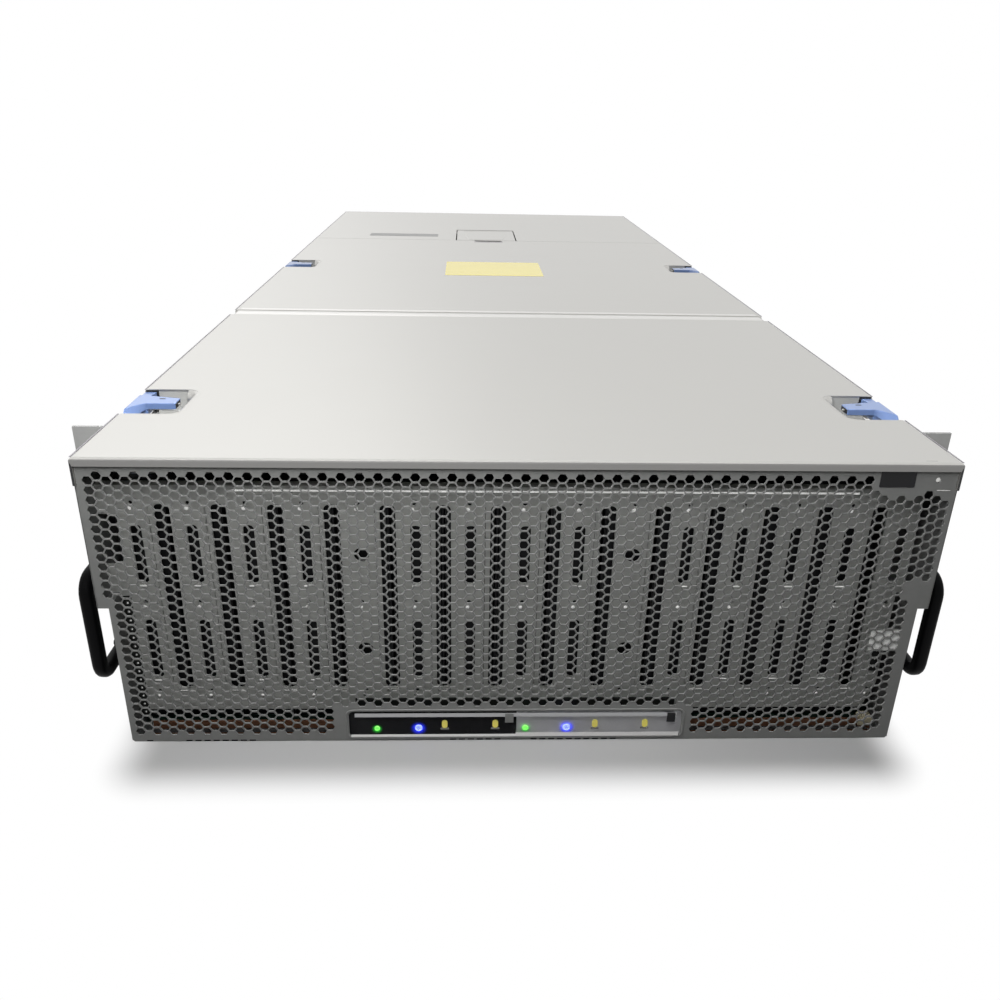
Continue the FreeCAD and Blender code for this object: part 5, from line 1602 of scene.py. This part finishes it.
@dataclass
class Studio:
    """Camera, lamps and pale floor with a painted shadow patch."""

    eye: Place = (-0.0295, -0.9614, 0.3345)
    yaw: float = 0.042
    pitch: float = 0.417
    roll: float = 0.022
    lens: float = 32.13
    sky_light: float = 0.12
    floor_shades: Span = (0.05, 0.40)
    floor_middle: Point = (0.0, 0.2)
    shadow_patch_half: Place = (0.197, 0.7635, 0.0)
    shadow_patch_fade: float = 0.036
    floor_reach: float = 4.0
    floor_drop: float = 0.0003
    sensor: float = 36.0
    near_clip: float = 0.01
    unmirrored: tuple[str, ...] = ("front_lamp", "top_lamp")
    lamps: tuple[tuple[str, Place, Place, float, float], ...] = (
        ("key_lamp", (-1.3, 2.2, 1.8), (0.0, 0.0, 0.17), 2.8, 10.5),
        ("fill_lamp", (-0.9, -1.6, 1.5), (0.0, -0.5, 0.1), 1.2, 1.0),
        ("front_lamp", (-0.1, -0.74, 0.48), (0.0, -0.55, 0.12), 0.35, 2.75),
        ("top_lamp", (0.0, 0.0, 2.4), (0.0, 0.0, 0.0), 0.7, 30.0))

    def camera(self) -> None:
        """Place the camera where the photograph was taken."""
        level_part = math.cos(self.pitch)
        ahead = (math.sin(self.yaw) * level_part, math.cos(self.yaw) * level_part)
        forward = Vector((*ahead, -math.sin(self.pitch)))
        level = Vector((math.cos(self.yaw), -math.sin(self.yaw), 0.0))
        up = level.cross(forward)
        right = level * math.cos(self.roll) + up * math.sin(self.roll)
        up = up * math.cos(self.roll) - level * math.sin(self.roll)
        data = bpy.data.cameras.new("camera")
        data.lens = self.lens
        data.sensor_width = self.sensor
        data.clip_start = self.near_clip
        camera = bpy.data.objects.new("camera", data)
        bpy.context.scene.collection.objects.link(camera)
        turn = Matrix((right, up, -forward)).transposed()
        camera.matrix_world = Matrix.Translation(Vector(self.eye)) @ turn.to_4x4()
        bpy.context.scene.camera = camera

    def lights(self) -> None:
        """Hang the soft lamps; the near and the top one leave no bright spot on metal."""
        for name, place, target, size, power in self.lamps:
            data = bpy.data.lights.new(name, "AREA")
            data.shape = "DISK"
            data.size = size
            data.energy = power
            lamp = bpy.data.objects.new(name, data)
            bpy.context.scene.collection.objects.link(lamp)
            lamp.visible_glossy = name not in self.unmirrored
            lamp.location = place
            lamp.rotation_euler = (Vector(target) - Vector(place)).to_track_quat("-Z", "Y").to_euler()

    def background_rays(self, tree: Tree) -> bpy.types.NodeSocket:
        """Return 1 for rays that show the background: seen directly, mirrored or through glass."""
        path = tree.node("LightPath")
        seen = path.outputs["Is Camera Ray"]
        for kind in ("Is Glossy Ray", "Is Transmission Ray"):
            more = tree.node("Math", operation="MAXIMUM")
            tree.join(seen, more.inputs[0])
            tree.join(path.outputs[kind], more.inputs[1])
            seen = more.outputs[0]
        return seen

    def sky(self) -> None:
        """Make the white world, dimmer as a light than as a background."""
        world = bpy.data.worlds.new("pale_room")
        bpy.context.scene.world = world
        world.use_nodes = True
        tree = Tree(world.node_tree)
        end = tree.node("OutputWorld")
        light = tree.node("Background", {"Color": (1.0, 1.0, 1.0, 1.0)})
        seen = self.background_rays(tree)
        tree.join(tree.scaled(seen, (self.sky_light, 1.0)), light.inputs["Strength"])
        tree.join(light.outputs[0], end.inputs[0])

    def floor(self) -> None:
        """Lay the pale floor, with its painted shadow patch, under the object."""
        mesh = bpy.data.meshes.new("floor")
        reach = about(0.0, self.floor_reach)
        mesh.from_pydata([(*corner, 0.0) for corner in rectangle(reach, reach)], [], [(0, 1, 2, 3)])
        floor = bpy.data.objects.new("floor", mesh)
        bpy.context.scene.collection.objects.link(floor)
        floor.location = (*self.floor_middle, -self.floor_drop)
        mesh.materials.append(self.floor_material())

    def floor_material(self) -> bpy.types.Material:
        """Return the floor's finish: grey near the object, a painted shadow patch on which the rendered
        shadow falls, fading into the white world away from it.
        """
        material = bpy.data.materials.new("pale_floor_with_painted_shadow")
        material.use_nodes = True
        tree = Tree(material.node_tree)
        end = tree.node("OutputMaterial")
        skin = tree.node("BsdfPrincipled", {"Roughness": 0.9, "Specular IOR Level": 0.0})
        skin.inputs["Emission Color"].default_value = (1.0, 1.0, 1.0, 1.0)
        seen = self.background_rays(tree)
        spot = tree.node("TexCoord").outputs["Object"]
        steps = (("ABSOLUTE", None), ("SUBTRACT", self.shadow_patch_half), ("MAXIMUM", (0.0, 0.0, 0.0)))
        for operation, value in steps:
            step = tree.node("VectorMath", {1: value} if value else {}, operation=operation)
            tree.join(spot, step.inputs[0])
            spot = step.outputs[0]
        away = tree.node("VectorMath", operation="LENGTH")
        tree.join(spot, away.inputs[0])
        fade = tree.node("MapRange", {2: self.shadow_patch_fade}, interpolation_type="SMOOTHSTEP")
        tree.join(away.outputs["Value"], fade.inputs[0])
        clear = tree.node("Math", operation="MULTIPLY")
        tree.join(fade.outputs[0], clear.inputs[0])
        tree.join(seen, clear.inputs[1])
        tree.join(clear.outputs[0], skin.inputs["Emission Strength"])
        # painted shadow: the floor is grey only in the patch round the object
        shade = tree.node("Math", operation="MULTIPLY")
        tree.join(tree.scaled(seen, self.floor_shades), shade.inputs[0])
        tree.join(tree.scaled(clear.outputs[0], (1, 0)), shade.inputs[1])
        tree.join(shade.outputs[0], skin.inputs["Base Color"])
        tree.join(skin.outputs[0], end.inputs[0])
        return material

    def build(self) -> None:
        """Set up the whole studio."""
        bpy.context.scene.view_settings.view_transform = "Standard"
        self.camera()
        self.lights()
        self.sky()
        self.floor()


def main() -> None:
    """Build every sub-assembly in order."""
    logging.basicConfig(level=logging.INFO, format="%(name)s: %(message)s")
    parts = (Studio(), FrontGrille(), DriveBaffle(), IndicatorStrip(), RackMounts(),
             Covers(), Latches(), Inside(), Rear())
    for part in parts:
        LOG.info("building %s", type(part).__name__)
        part.build()


if __name__ == "__main__":
    main()
